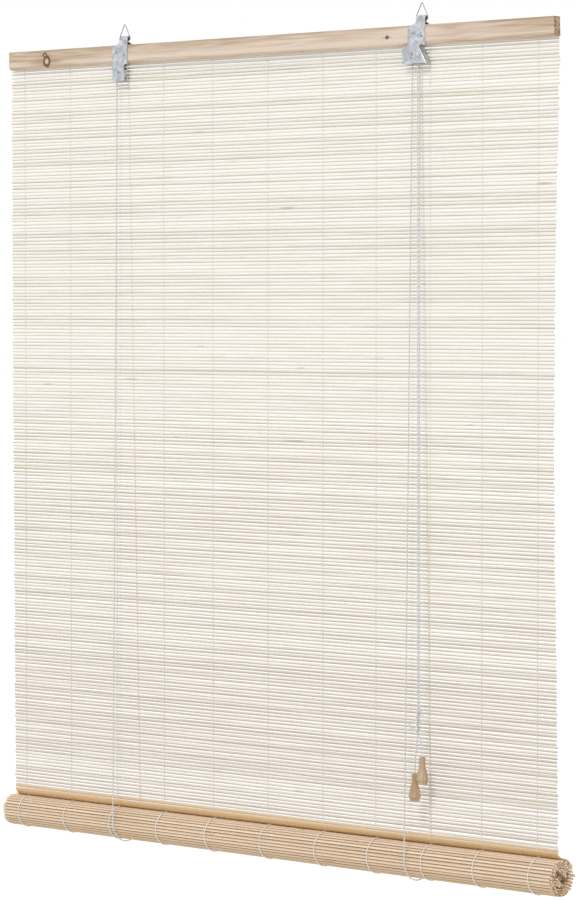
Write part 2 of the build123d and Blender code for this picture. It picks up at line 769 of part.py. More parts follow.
for place, pull_x, pull_drop, knot_side in (
    ("upper", upper_pull_x, upper_pull_drop, 1),
    ("lower", lower_pull_x, lower_pull_drop, -1),
):
    pull_top_z = rail_top_z - pull_drop
    tail_points = (
        (knot_x + knot_side * tail_spread, pull_y, knot_bottom_z - cord_joint_gap),
        (pull_x, pull_y, pull_top_z + tail_bend_rise),
        (pull_x, pull_y, pull_top_z - tail_end_drop),
    )
    upper_run = Vector(tail_points[1]) - Vector(tail_points[0])
    lower_run = Vector(tail_points[2]) - Vector(tail_points[1])
    half_turn = math.radians(upper_run.get_angle(lower_run) / 2)
    tail_radius = 0.45 * min(upper_run.length, lower_run.length) / math.tan(half_turn)
    print(f"{place}_tail radius {tail_radius:.1f}")
    cord_run(f"{place}_tail", *tail_points, radii=(tail_radius,))

    with BuildPart() as bell:
        with BuildSketch(Plane.XZ.offset(-pull_y)) as bell_half:
            with BuildLine() as bell_outline:
                bell_side = Spline(
                    (pull_x + pull_top_radius, pull_top_z - 1.5),
                    (pull_x + pull_waist_radius, pull_top_z - 0.22 * pull_length),
                    (pull_x + 0.8 * pull_rim_radius, pull_top_z - 0.6 * pull_length),
                    (pull_x + pull_rim_radius, pull_top_z - 0.84 * pull_length),
                )
                bell_foot = RadiusArc(
                    bell_side @ 1,
                    (pull_x + 0.85 * pull_rim_radius, pull_top_z - pull_length),
                    -0.9 * pull_rim_radius,
                )
                bell_crown = RadiusArc(
                    (pull_x + 0.6 * pull_top_radius, pull_top_z), bell_side @ 0, pull_top_radius
                )
                Polyline(
                    bell_foot @ 1,
                    (pull_x + pull_recess_radius, pull_top_z - pull_length),
                    (pull_x + pull_recess_radius, pull_top_z - pull_length + pull_recess_depth),
                    (pull_x + pull_hole_radius, pull_top_z - pull_length + pull_recess_depth),
                    (pull_x + pull_hole_radius, pull_top_z),
                    bell_crown @ 0,
                )
            make_face()
        revolve(axis=Axis((pull_x, pull_y, 0), (0, 0, 1)))
    bell.part.label = f"{place}_pull"
    export_step(bell.part, f"parts/{place}_pull.step")
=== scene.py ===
"""Looks of a bamboo roll-up blind: slats, warps, twisted cords, finishes, light and camera."""
import logging
import math
from dataclasses import dataclass
from enum import Enum
from typing import Iterable, Sequence, Union

import bmesh
import bpy
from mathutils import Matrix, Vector


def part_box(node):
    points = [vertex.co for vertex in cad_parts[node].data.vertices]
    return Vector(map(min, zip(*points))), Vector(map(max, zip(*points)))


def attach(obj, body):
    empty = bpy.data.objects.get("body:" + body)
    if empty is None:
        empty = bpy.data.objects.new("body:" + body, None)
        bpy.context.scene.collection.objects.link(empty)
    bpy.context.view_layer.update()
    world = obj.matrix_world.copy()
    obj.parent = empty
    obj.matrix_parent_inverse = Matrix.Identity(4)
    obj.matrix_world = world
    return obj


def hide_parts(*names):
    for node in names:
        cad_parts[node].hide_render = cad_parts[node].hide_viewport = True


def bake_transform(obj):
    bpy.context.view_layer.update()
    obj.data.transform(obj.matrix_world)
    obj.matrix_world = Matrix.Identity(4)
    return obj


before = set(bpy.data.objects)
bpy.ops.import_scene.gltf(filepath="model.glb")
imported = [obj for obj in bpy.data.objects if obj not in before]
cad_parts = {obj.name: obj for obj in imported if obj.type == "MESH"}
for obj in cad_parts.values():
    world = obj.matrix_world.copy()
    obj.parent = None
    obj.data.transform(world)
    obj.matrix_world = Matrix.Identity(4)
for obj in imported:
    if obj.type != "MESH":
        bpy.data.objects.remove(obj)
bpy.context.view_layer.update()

LOG = logging.getLogger("blind")
Socket = bpy.types.NodeSocket
Node = bpy.types.Node
Tree = bpy.types.NodeTree
Material = bpy.types.Material
Mesh = bpy.types.Mesh
Piece = bpy.types.Object
Colour = tuple[float, float, float]
Point = tuple[float, float, float]
Feed = Union[float, int, str, tuple, Socket, Material]


class Body(Enum):
    """Moving bodies of the blind."""

    RAIL = "headrail_and_mat"
    SLINGS = "lift_slings"
    ROLL = "roll"
    PULLS = "pulls"


class Axis(Enum):
    """Direction that a wood's grain runs in."""

    ALONG_RAIL = (1.0, 26.0, 26.0)
    UPRIGHT = (26.0, 26.0, 1.0)


def find_socket(sockets: Iterable[Socket], key: Union[str, int]) -> Socket:
    """Find a socket by its place, identifier or name.

    Args:
        sockets: the node's inputs or outputs.
        key: index, identifier, or the name of a socket that is in use.

    Returns:
        The socket.
    """
    listed = list(sockets)
    if isinstance(key, int):
        return listed[key]
    for socket in listed:
        if socket.identifier == key:
            return socket
    for socket in listed:
        if socket.name == key and socket.enabled:
            return socket
    raise KeyError(key)


class Wiring:
    """Adds nodes to a shader or geometry tree and joins their sockets."""

    def __init__(self, tree: Tree) -> None:
        """Work on this tree."""
        self.tree = tree

    def feed(self, target: Socket, value: Feed) -> None:
        """Link a socket to the target, or set its value.

        Args:
            target: input socket.
            value: socket to link from, or a constant.
        """
        if isinstance(value, Socket):
            self.tree.links.new(value, target)
        elif target.type == "RGBA" and len(value) == 3:
            target.default_value = (*value, 1.0)
        else:
            target.default_value = value

    def add(self, kind: str, feeds: dict | None = None, **settings: object) -> Node:
        """Add a node.

        Args:
            kind: Blender's type name of the node.
            feeds: what goes into each input, by name, identifier or index.
            settings: properties of the node.

        Returns:
            The node.
        """
        node = self.tree.nodes.new(kind)
        for name, value in settings.items():
            setattr(node, name, value)
        for key, value in (feeds or {}).items():
            self.feed(find_socket(node.inputs, key), value)
        return node

    def math(self, operation: str, *terms: Feed) -> Socket:
        """Scalar arithmetic on the terms, as one output socket."""
        return self.add("ShaderNodeMath", dict(enumerate(terms)), operation=operation).outputs[0]

    def vector(self, operation: str, *terms: Feed) -> Socket:
        """Vector arithmetic on the terms, as one output socket."""
        node = self.add("ShaderNodeVectorMath", dict(enumerate(terms)), operation=operation)
        scalar = operation in ("DOT_PRODUCT", "LENGTH", "DISTANCE")
        return node.outputs["Value" if scalar else "Vector"]

    def scaled(self, vector: Feed, factor: Feed) -> Socket:
        """The vector times a number."""
        node = self.add("ShaderNodeVectorMath", {0: vector, "Scale": factor}, operation="SCALE")
        return node.outputs["Vector"]

    def combine(self, x: Feed, y: Feed, z: Feed) -> Socket:
        """A vector of three numbers."""
        return self.add("ShaderNodeCombineXYZ", {"X": x, "Y": y, "Z": z}).outputs[0]

    def mix(self, share: Feed, first: Feed, second: Feed) -> Socket:
        """A colour between two colours."""
        feeds = {"Factor_Float": share, "A_Color": first, "B_Color": second}
        return find_socket(self.add("ShaderNodeMix", feeds, data_type="RGBA").outputs, "Result_Color")

    def ramp(
        self, value: Feed, low: float, high: float, to_low: float = 0.0, to_high: float = 1.0
    ) -> Socket:
        """Map a value from low..high to to_low..to_high, clamped."""
        feeds = {"Value": value, "From Min": low, "From Max": high, "To Min": to_low, "To Max": to_high}
        return self.add("ShaderNodeMapRange", feeds).outputs["Result"]

    def noise(self, vector: Feed, scale: float, detail: float = 3.0, roughness: float = 0.5) -> Socket:
        """Noise value from 0 to 1 at a place."""
        feeds = {"Vector": vector, "Scale": scale, "Detail": detail, "Roughness": roughness}
        return self.add("ShaderNodeTexNoise", feeds).outputs[0]

    def object_place(self) -> Socket:
        """The place on the piece, in object coordinates."""
        return self.add("ShaderNodeTexCoord").outputs["Object"]

    def carried(self, name: str) -> Socket:
        """A number that the mesh carries under this name, for a material."""
        return self.add("ShaderNodeAttribute", attribute_name=name).outputs["Fac"]

    def keep(self, geometry: Feed, name: str, value: Feed, domain: str) -> Socket:
        """The geometry, with a number stored on each of its elements under a name."""
        feeds = {"Geometry": geometry, "Name": name, "Value": value}
        stored = self.add("GeometryNodeStoreNamedAttribute", feeds, data_type="FLOAT", domain=domain)
        return stored.outputs[0]


def new_group(
    name: str, kind: str, inputs: dict[str, str], outputs: dict[str, str]
) -> tuple[Wiring, Node, Node]:
    """Start a node group with named sockets.

    Args:
        name: the group's name.
        kind: ShaderNodeTree or GeometryNodeTree.
        inputs: kind of each input by name, such as Float or Vector.
        outputs: kind of each output by name.

    Returns:
        The wiring, the input node and the output node.
    """
    tree = bpy.data.node_groups.new(name, kind)
    for way, sockets in (("INPUT", inputs), ("OUTPUT", outputs)):
        for socket, held in sockets.items():
            tree.interface.new_socket(socket, in_out=way, socket_type=f"NodeSocket{held}")
    wiring = Wiring(tree)
    return wiring, wiring.add("NodeGroupInput"), wiring.add("NodeGroupOutput")


class SurfaceEffects:
    """Shader node groups that several finishes share."""

    def __init__(self) -> None:
        """Build each group once."""
        self.fibre = self._fibre()
        self.knot = self._knot()
        self.lay = self._lay()

    def _fibre(self) -> Tree:
        """Long fibres with fine streaks and slow changes of tone.

        Returns:
            The tree.
        """
        w, start, end = new_group(
            "fibre grain",
            "ShaderNodeTree",
            {"Vector": "Vector", "Stretch": "Vector", "Fineness": "Float"},
            {"Streaks": "Float", "Tone": "Float"},
        )
        drawn = w.vector("MULTIPLY", start.outputs["Vector"], start.outputs["Stretch"])
        fine = w.scaled(drawn, start.outputs["Fineness"])
        w.feed(end.inputs["Streaks"], w.noise(fine, 1.0, 5.0, 0.62))
        w.feed(end.inputs["Tone"], w.noise(drawn, 2.3, 2.0, 0.5))
        return w.tree

    def _knot(self) -> Tree:
        """Oval knot in wood: masks for its dark rim and its heart.

        Returns:
            The tree.
        """
        w, start, end = new_group(
            "wood knot",
            "ShaderNodeTree",
            {"Vector": "Vector", "Centre": "Vector", "Size": "Vector"},
            {"Mask": "Float", "Rim": "Float"},
        )
        away = w.vector("SUBTRACT", start.outputs["Vector"], start.outputs["Centre"])
        ripple = w.math("MULTIPLY", w.math("SUBTRACT", w.noise(start.outputs["Vector"], 240.0), 0.5), 0.35)
        reach = w.math("ADD", w.vector("LENGTH", w.vector("DIVIDE", away, start.outputs["Size"])), ripple)
        w.feed(end.inputs["Mask"], w.ramp(reach, 1.05, 0.85))
        w.feed(end.inputs["Rim"], w.math("MULTIPLY", w.ramp(reach, 0.36, 0.66), w.ramp(reach, 1.2, 1.02)))
        return w.tree

    def _lay(self) -> Tree:
        """Slanted ridges of a twisted cord that runs along X or Z.

        Returns:
            The tree.
        """
        w, start, end = new_group(
            "cord lay",
            "ShaderNodeTree",
            {"Vector": "Vector", "Pitch": "Float"},
            {"Ridge": "Float"},
        )
        slant = w.vector("DOT_PRODUCT", start.outputs["Vector"], (1.0, 0.75, 1.0))
        turns = w.math("DIVIDE", slant, start.outputs["Pitch"])
        w.feed(end.inputs["Ridge"], w.math("ABSOLUTE", w.math("SINE", w.math("MULTIPLY", turns, math.pi))))
        return w.tree


def new_material(
    name: str, roughness: float, metallic: float = 0.0
) -> tuple[Material, Wiring, Node]:
    """Start a material with its Principled BSDF.

    Args:
        name: the material's name.
        roughness: plain roughness, set on the shader.
        metallic: plain metallic, set on the shader.

    Returns:
        The material, its wiring and its Principled BSDF.
    """
    material = bpy.data.materials.new(name)
    material.use_nodes = True
    material.node_tree.nodes.clear()
    w = Wiring(material.node_tree)
    shader = w.add("ShaderNodeBsdfPrincipled", {"Roughness": roughness, "Metallic": metallic})
    w.add("ShaderNodeOutputMaterial", {"Surface": shader.outputs[0]})
    return material, w, shader


def add_bump(w: Wiring, shader: Node, height: Feed, depth: float) -> None:
    """Give a shader a bump.

    Args:
        w: the material's wiring.
        shader: its Principled BSDF.
        height: relief from 0 to 1.
        depth: its real depth in metres.
    """
    bump = w.add("ShaderNodeBump", {"Height": height, "Distance": depth, "Strength": 1.0})
    w.feed(shader.inputs["Normal"], bump.outputs[0])


@dataclass(frozen=True)
class BambooFinish:
    """Split bamboo: each slat has its own tone, fibres, a few darker nodes, a painted highlight on its upper
    edge and painted shade on its lower edge, and painted warm shade where it is asked for.
    """

    name: str
    pale: Colour
    tan: Colour
    mark: Colour
    painted_warm_shade: Colour
    foot_tint: float = 0.0
    painted_edge_light: float = 0.28

    def build(self, effects: SurfaceEffects) -> Material:
        """Make the material; it reads slat_tone, slat_side and slat_painted_shade.

        Args:
            effects: shader node groups that the finishes share.

        Returns:
            The material.
        """
        material, w, shader = new_material(self.name, 0.55)
        place = w.object_place()
        split = w.add("ShaderNodeSeparateXYZ", {0: place})
        tone = w.carried("slat_tone")
        side = w.carried("slat_side")
        painted_shade_share = w.carried("slat_painted_shade")
        own = w.math("MULTIPLY", tone, 91.0)
        along = w.combine(split.outputs["X"], own, 0.0)
        patches = w.noise(w.vector("MULTIPLY", along, (6.0, 1.0, 1.0)), 1.0, 2.0)
        shade = w.math("ADD", w.math("MULTIPLY", tone, 0.3), w.math("MULTIPLY", patches, 0.5))
        feeds = {"Vector": place, "Stretch": (5.0, 260.0, 260.0), "Fineness": 3.0}
        grain = w.add("ShaderNodeGroup", feeds, node_tree=effects.fibre)
        streaked = w.math("ADD", shade, w.ramp(grain.outputs["Streaks"], 0.35, 0.7, -0.1, 0.14))
        # Painted highlight on each slat's upper edge and painted shade on its lower edge, by its place
        # across the slat.
        edge_lit_and_shaded = w.math("ADD", streaked, w.ramp(side, 0.35, -0.6, -self.painted_edge_light, self.painted_edge_light))
        lower = w.math("ADD", edge_lit_and_shaded, w.ramp(split.outputs["Z"], -0.3, -0.8, 0.0, self.foot_tint))
        body = w.mix(w.ramp(lower, 0.1, 0.95), self.pale, self.tan)
        # Painted warm shade: shadow and bounce light on the slats by the roll, shade on the roll's
        # underside.
        body = w.mix(w.math("MULTIPLY", painted_shade_share, 0.85), body, self.painted_warm_shade)
        spots = w.noise(w.vector("MULTIPLY", along, (15.0, 1.7, 1.0)), 1.0, 1.0)
        marked = w.mix(w.ramp(spots, 0.72, 0.8, 0.0, 0.5), body, self.mark)
        w.feed(shader.inputs["Base Color"], marked)
        w.feed(shader.inputs["Roughness"], w.ramp(grain.outputs["Streaks"], 0.3, 0.7, 0.46, 0.66))
        add_bump(w, shader, grain.outputs["Streaks"], 0.00012)
        return material


@dataclass(frozen=True)
class KnotSpot:
    """A knot on a wooden piece, in metres."""

    centre: Point
    size: Point
    flame: Point
    fill: float = 0.2


@dataclass(frozen=True)
class ShadingBand:
    """A band of painted light or shade along the piece, by height in metres."""

    height: float
    reach: float
    strength: float


@dataclass(frozen=True)
class WoodFinish:
    """Planed or turned wood with grain, optional knots, darker end grain and optional bands of painted light
    and shade.
    """

    name: str
    pale: Colour
    deep: Colour
    grain: Axis
    knots: tuple[KnotSpot, ...] = ()
    shading_bands: tuple[ShadingBand, ...] = ()
    knot_colour: Colour = (0.16, 0.07, 0.03)
    end_colour: Colour = (0.56, 0.40, 0.28)
    ends_at: tuple[float, float] = (-9.0, 9.0)
    end_depth: float = 0.0004
    rings: float = 1.0
    darker_ends: float = 0.0

    def build(self, effects: SurfaceEffects) -> Material:
        """Make the material in object coordinates.

        Args:
            effects: shader node groups that the finishes share.

        Returns:
            The material.
        """
        material, w, shader = new_material(self.name, 0.5)
        place = w.object_place()
        stretch = tuple(value * self.rings for value in self.grain.value)
        feeds = {"Vector": place, "Stretch": stretch, "Fineness": 11.0}
        grain = w.add("ShaderNodeGroup", feeds, node_tree=effects.fibre)
        flow = w.vector("MULTIPLY", place, tuple(value * 5.2 * self.rings for value in self.grain.value))
        bands = w.math("SINE", w.math("MULTIPLY", w.noise(flow, 1.0, 2.0, 0.4), 34.0))
        tone = w.math("ADD", w.math("MULTIPLY", grain.outputs["Tone"], 0.9), w.math("MULTIPLY", bands, 0.12))
        tone = w.math("ADD", tone, w.ramp(grain.outputs["Streaks"], 0.3, 0.75, -0.26, 0.28))
        split = w.add("ShaderNodeSeparateXYZ", {0: place})
        across = split.outputs["X"]
        # Painted light and shade in bands along the piece, where its rounded edges catch or lose the light.
        for shading_band in self.shading_bands:
            away = w.math("ABSOLUTE", w.math("SUBTRACT", split.outputs["Z"], shading_band.height))
            tone = w.math("ADD", tone, w.ramp(away, shading_band.reach, 0.0, 0.0, shading_band.strength))
        for spot in self.knots:
            beside = w.vector("DIVIDE", w.vector("SUBTRACT", place, spot.centre), spot.flame)
            tone = w.math("ADD", tone, w.ramp(w.vector("LENGTH", beside), 1.0, 0.25, 0.0, 0.5))
        tone = w.math("ADD", tone, w.ramp(w.math("ABSOLUTE", across), 0.22, 0.42, 0.0, self.darker_ends))
        body = w.mix(w.ramp(tone, 0.15, 0.85), self.pale, self.deep)
        for spot in self.knots:
            feeds = {"Vector": place, "Centre": spot.centre, "Size": spot.size}
            knot = w.add("ShaderNodeGroup", feeds, node_tree=effects.knot)
            heart = w.mix(spot.fill, self.pale, self.knot_colour)
            body = w.mix(knot.outputs["Mask"], body, heart)
            body = w.mix(knot.outputs["Rim"], body, self.knot_colour)
        low, high = self.ends_at
        right_end = w.ramp(across, high - self.end_depth, high)
        left_end = w.ramp(across, low + self.end_depth, low)
        rings = w.noise(w.vector("MULTIPLY", place, (1.0, 420.0, 620.0)), 1.0, 2.0, 0.5)
        end_grain = w.mix(w.ramp(rings, 0.44, 0.58), self.end_colour, self.knot_colour)
        body = w.mix(w.math("MAXIMUM", right_end, left_end), body, end_grain)
        w.feed(shader.inputs["Base Color"], body)
        w.feed(shader.inputs["Roughness"], w.ramp(grain.outputs["Streaks"], 0.3, 0.7, 0.42, 0.62))
        add_bump(w, shader, grain.outputs["Streaks"], 0.00015)
        return material


@dataclass(frozen=True)
class MetalFinish:
    """Metal with a faint crystal spangle, scuffs and fine lines."""

    name: str
    colour: Colour
    shade: Colour
    roughness: float
    spangle: float = 260.0

    def build(self, effects: SurfaceEffects) -> Material:
        """Make the material in object coordinates.

        Args:
            effects: shader node groups that the finishes share.

        Returns:
            The material.
        """
        material, w, shader = new_material(self.name, self.roughness, 0.85)
        place = w.object_place()
        cells = w.add("ShaderNodeTexVoronoi", {"Vector": place, "Scale": self.spangle})
        flake = w.add("ShaderNodeSeparateColor", {0: cells.outputs["Color"]}).outputs[0]
        scuff = w.noise(place, 140.0, 5.0, 0.7)
        share = w.math("ADD", w.math("MULTIPLY", flake, 0.45), w.math("MULTIPLY", scuff, 0.5))
        w.feed(shader.inputs["Base Color"], w.mix(w.ramp(share, 0.1, 0.9), self.colour, self.shade))
        low, high = self.roughness - 0.08, self.roughness + 0.14
        w.feed(shader.inputs["Roughness"], w.ramp(scuff, 0.3, 0.7, low, high))
        feeds = {"Vector": place, "Stretch": (60.0, 60.0, 1500.0), "Fineness": 1.0}
        lines = w.add("ShaderNodeGroup", feeds, node_tree=effects.fibre)
        add_bump(w, shader, lines.outputs["Streaks"], 0.00004)
        return material


@dataclass(frozen=True)
class CottonFinish:
    """Cotton yarn: soft, slightly fluffy, with painted shade in the valleys between its strands and an
    optional painted glow.
    """

    name: str
    pale: Colour
    shade: Colour
    pitch: float = 0.0
    strand_contrast: float = 0.75
    painted_glow: Colour = (0.0, 0.0, 0.0)

    def build(self, effects: SurfaceEffects) -> Material:
        """Make the material in object coordinates.

        Args:
            effects: shader node groups that the finishes share.

        Returns:
            The material.
        """
        material, w, shader = new_material(self.name, 0.85)
        shader.inputs["Sheen Weight"].default_value = 0.35
        shader.inputs["Sheen Roughness"].default_value = 0.5
        # Painted glow: a little light of the cotton's own, standing in for light that reaches the rear cords
        # through the mat.
        shader.inputs["Emission Color"].default_value = (*self.painted_glow, 1.0)
        shader.inputs["Emission Strength"].default_value = 1.0
        place = w.object_place()
        fuzz = w.noise(place, 2600.0, 3.0, 0.6)
        body = w.mix(w.ramp(fuzz, 0.3, 0.75), self.pale, self.shade)
        relief = fuzz
        # One strand of each cord is darkened as painted shade in the valleys between strands.
        strand = w.carried("strand_shade")
        body = w.mix(w.math("MULTIPLY", strand, self.strand_contrast), body, self.shade)
        if self.pitch:
            lay = w.add("ShaderNodeGroup", {"Vector": place, "Pitch": self.pitch}, node_tree=effects.lay)
            # Painted shade in the valleys between the turns of a laid cord.
            body = w.mix(w.ramp(lay.outputs["Ridge"], 0.3, 0.0, 0.0, 0.7), body, self.shade)
            relief = lay.outputs["Ridge"]
        w.feed(shader.inputs["Base Color"], body)
        add_bump(w, shader, relief, 0.0002 if self.pitch else 0.00008)
        return material


@dataclass(frozen=True)
class Gauge:
    """Thickness of a thread, its steps along the path and the sides of its section."""

    radius: float
    step: float
    sides: int


@dataclass(frozen=True)
class SlatCut:
    """How slats are split and laid, in metres; tilt is in radians."""

    width: float
    thickness: float
    ragged: float
    wander: float
    tilt: float
    seed: int
    corner: float = 0.0005


class Workshop:
    """Geometry node trees for what repeats, and the step that turns them into plain meshes."""

    def __init__(self) -> None:
        """Build each tree once."""
        self.slats = self._slat_tree()
        self.strands = self._strand_tree()

    def _slat_tree(self) -> Tree:
        """Slats laid on points; each point says where its slat ends and how far it is turned.

        Returns:
            The tree.
        """
        w, start, end = new_group(
            "slats on points",
            "GeometryNodeTree",
            {
                "Points": "Geometry",
                "Slat width": "Float",
                "Slat thickness": "Float",
                "Corner": "Float",
                "Ragged ends": "Float",
                "Wander": "Float",
                "Tilt": "Float",
                "Seed": "Int",
                "Finish": "Material",
            },
            {"Slats": "Geometry"},
        )
        given = start.outputs

        def own(name: str, kind: str = "FLOAT") -> Socket:
            """A value that the point carries."""
            return w.add("GeometryNodeInputNamedAttribute", {"Name": name}, data_type=kind).outputs[0]

        def chance(low: Feed, high: Feed, turn: int) -> Socket:
            """A random number of the slat's own.

            Args:
                low: its least value.
                high: its greatest value.
                turn: which of the slat's random numbers this is.

            Returns:
                The number.
            """
            seed = w.math("ADD", given["Seed"], float(turn))
            feeds = {"Min_001": low, "Max_001": high, "ID": own("slat_number", "INT"), "Seed": seed}
            drawn = w.add("FunctionNodeRandomValue", feeds, data_type="FLOAT")
            return find_socket(drawn.outputs, "Value_001")

        ragged = given["Ragged ends"]
        inward = w.math("MULTIPLY", ragged, -1.0)
        left_end = w.math("ADD", own("left_end"), chance(inward, ragged, 1))
        right_end = w.math("ADD", own("right_end"), chance(inward, ragged, 2))
        length = w.math("SUBTRACT", right_end, left_end)
        middle = w.math("MULTIPLY", w.math("ADD", left_end, right_end), 0.5)
        feeds = {"Geometry": given["Points"], "Offset": w.combine(middle, 0.0, 0.0)}
        placed = w.add("GeometryNodeSetPosition", feeds)

        outline = w.add(
            "GeometryNodeCurvePrimitiveQuadrilateral",
            {"Width": given["Slat thickness"], "Height": given["Slat width"]},
        )
        feeds = {"Curve": outline.outputs[0], "Radius": given["Corner"], "Count": 1}
        rounded = w.add("GeometryNodeFilletCurve", feeds, mode="POLY")
        line = w.add("GeometryNodeCurvePrimitiveLine", {"Start": (-0.5, 0.0, 0.0), "End": (0.5, 0.0, 0.0)})
        steps = w.add("GeometryNodeResampleCurve", {"Curve": line.outputs[0], "Count": 13})
        body = w.add(
            "GeometryNodeCurveToMesh",
            {"Curve": steps.outputs[0], "Profile Curve": rounded.outputs[0], "Fill Caps": True},
        )
        spot = w.add("ShaderNodeSeparateXYZ", {0: w.add("GeometryNodeInputPosition").outputs[0]})
        # Place across the slat's width; the bamboo finish paints a highlight on the upper edge and shade on
        # the lower edge from it.
        side = w.math("DIVIDE", spot.outputs["Z"], w.math("MULTIPLY", given["Slat width"], 0.5))
        slat = w.keep(body.outputs[0], "slat_side", side, "POINT")

        tilt = given["Tilt"]
        turn = w.combine(own("slat_turn"), 0.0, 0.0)
        sway = w.combine(0.0, chance(w.math("MULTIPLY", tilt, -1.0), tilt, 3), 0.0)
        breadth = w.math("MULTIPLY", own("slat_fill"), chance(0.88, 1.07, 4))
        laid = w.add(
            "GeometryNodeInstanceOnPoints",
            {
                "Points": placed.outputs[0],
                "Instance": slat,
                "Rotation": w.vector("ADD", turn, sway),
                "Scale": w.combine(length, chance(0.84, 1.1, 5), breadth),
            },
        )
        toned = w.keep(laid.outputs[0], "slat_tone", chance(0.0, 1.0, 6), "INSTANCE")
        real = w.add("GeometryNodeRealizeInstances", {"Geometry": toned})
        spot = w.add("ShaderNodeSeparateXYZ", {0: w.add("GeometryNodeInputPosition").outputs[0]})
        lane = w.math("MULTIPLY", own("slat_number", "INT"), 3.7)
        along = w.combine(w.math("MULTIPLY", spot.outputs["X"], 6.0), lane, 0.0)
        wave = w.add("ShaderNodeTexNoise", {"Vector": along, "Scale": 1.0, "Detail": 1.0}).outputs["Color"]
        push = w.scaled(w.vector("SUBTRACT", wave, (0.5, 0.5, 0.5)), given["Wander"])
        bent = w.add(
            "GeometryNodeSetPosition",
            {"Geometry": real.outputs[0], "Offset": w.vector("MULTIPLY", push, (0.0, 1.0, 1.0))},
        )
        flat = w.add("GeometryNodeSetShadeSmooth", {"Geometry": bent.outputs[0], "Shade Smooth": False})
        feeds = {"Geometry": flat.outputs[0], "Material": given["Finish"]}
        w.feed(end.inputs["Slats"], w.add("GeometryNodeSetMaterial", feeds).outputs[0])
        return w.tree

    def _strand_tree(self) -> Tree:
        """Strands laid round each path in the mesh that goes in, like a twisted cord.

        Returns:
            The tree.
        """
        w, start, end = new_group(
            "strands along paths",
            "GeometryNodeTree",
            {
                "Paths": "Geometry",
                "Strands": "Int",
                "Strand radius": "Float",
                "Lay radius": "Float",
                "Lay pitch": "Float",
                "Step": "Float",
                "Sides": "Int",
                "Finish": "Material",
            },
            {"Cord": "Geometry"},
        )
        given = start.outputs
        curve = w.add("GeometryNodeMeshToCurve", {"Mesh": given["Paths"]})
        feeds = {"Curve": curve.outputs[0], "Length": given["Step"]}
        steps = w.add("GeometryNodeResampleCurve", feeds, mode="LENGTH")
        copies = w.add(
            "GeometryNodeDuplicateElements",
            {"Geometry": steps.outputs[0], "Amount": given["Strands"]},
            domain="SPLINE",
        )
        length = w.add("GeometryNodeSplineParameter").outputs["Length"]
        share = w.math("DIVIDE", copies.outputs["Duplicate Index"], given["Strands"])
        turned = w.math("ADD", w.math("DIVIDE", length, given["Lay pitch"]), share)
        angle = w.math("MULTIPLY", turned, math.tau)
        normal = w.add("GeometryNodeInputNormal").outputs[0]
        side = w.vector("CROSS_PRODUCT", w.add("GeometryNodeInputTangent").outputs[0], normal)
        outward = w.vector(
            "ADD",
            w.scaled(normal, w.math("COSINE", angle)),
            w.scaled(side, w.math("SINE", angle)),
        )
        wound = w.add(
            "GeometryNodeSetPosition",
            {"Geometry": copies.outputs[0], "Offset": w.scaled(outward, given["Lay radius"])},
        )
        feeds = {"Resolution": given["Sides"], "Radius": given["Strand radius"]}
        ring = w.add("GeometryNodeCurvePrimitiveCircle", feeds)
        # The first strand is marked; the cotton finish darkens it as painted shade between the strands.
        first = w.math("LESS_THAN", copies.outputs["Duplicate Index"], 0.5)
        several = w.math("GREATER_THAN", given["Strands"], 1.5)
        marked = w.keep(wound.outputs[0], "strand_shade", w.math("MULTIPLY", first, several), "CURVE")
        tube = w.add(
            "GeometryNodeCurveToMesh",
            {"Curve": marked, "Profile Curve": ring.outputs[0], "Fill Caps": True},
        )
        real = w.add("GeometryNodeRealizeInstances", {"Geometry": tube.outputs[0]})
        smooth = w.add("GeometryNodeSetShadeSmooth", {"Geometry": real.outputs[0]})
        feeds = {"Geometry": smooth.outputs[0], "Material": given["Finish"]}
        w.feed(end.inputs["Cord"], w.add("GeometryNodeSetMaterial", feeds).outputs[0])
        return w.tree

    def grow(self, name: str, base: Mesh, tree: Tree, values: dict[str, Feed]) -> Piece:
        """Run a tree on a mesh and keep the result as a plain mesh object.

        Args:
            name: the new piece's name.
            base: points or paths that go into the tree.
            tree: geometry node tree.
            values: the modifier's inputs by socket name.

        Returns:
            The piece, with no modifier left on it.
        """
        piece = bpy.data.objects.new(name, base)
        bpy.context.scene.collection.objects.link(piece)
        modifier = piece.modifiers.new("grow", "NODES")
        modifier.node_group = tree
        for item in tree.interface.items_tree:
            if item.in_out == "INPUT" and item.name in values:
                modifier[item.identifier] = values[item.name]
        evaluated = piece.evaluated_get(bpy.context.evaluated_depsgraph_get())
        made = bpy.data.meshes.new_from_object(evaluated)
        piece.modifiers.clear()
        piece.data = made
        made.name = name
        return piece

    def cord(self, name: str, line: Sequence[Point], finish: Material, radius: float = 0.0008) -> Piece:
        """Three-strand cord along a line of points.

        Args:
            name: the new piece's name.
            line: the points, in metres.
            finish: cotton material.
            radius: outer radius of the cord.

        Returns:
            The piece.
        """
        values = {
            "Strands": 3,
            "Strand radius": 0.55 * radius,
            "Lay radius": 0.47 * radius,
            "Lay pitch": 7.5 * radius,
            "Step": 0.9 * radius,
            "Sides": 5,
            "Finish": finish,
        }
        return self.grow(name, path_mesh(name, [line]), self.strands, values)

    def threads(
        self, name: str, lines: Iterable[Sequence[Point]], gauge: Gauge, finish: Material
    ) -> Piece:
        """Plain thread along each line of points.

        Args:
            name: the new piece's name.
            lines: the points of each thread, in metres.
            gauge: how thick, how closely stepped and how many-sided the thread is.
            finish: cotton material.

        Returns:
            The piece.
        """
        values = {
            "Strands": 1,
            "Strand radius": gauge.radius,
            "Lay radius": 0.0,
            "Lay pitch": 1.0,
            "Step": gauge.step,
            "Sides": gauge.sides,
            "Finish": finish,
        }
        return self.grow(name, path_mesh("thread paths", lines), self.strands, values)

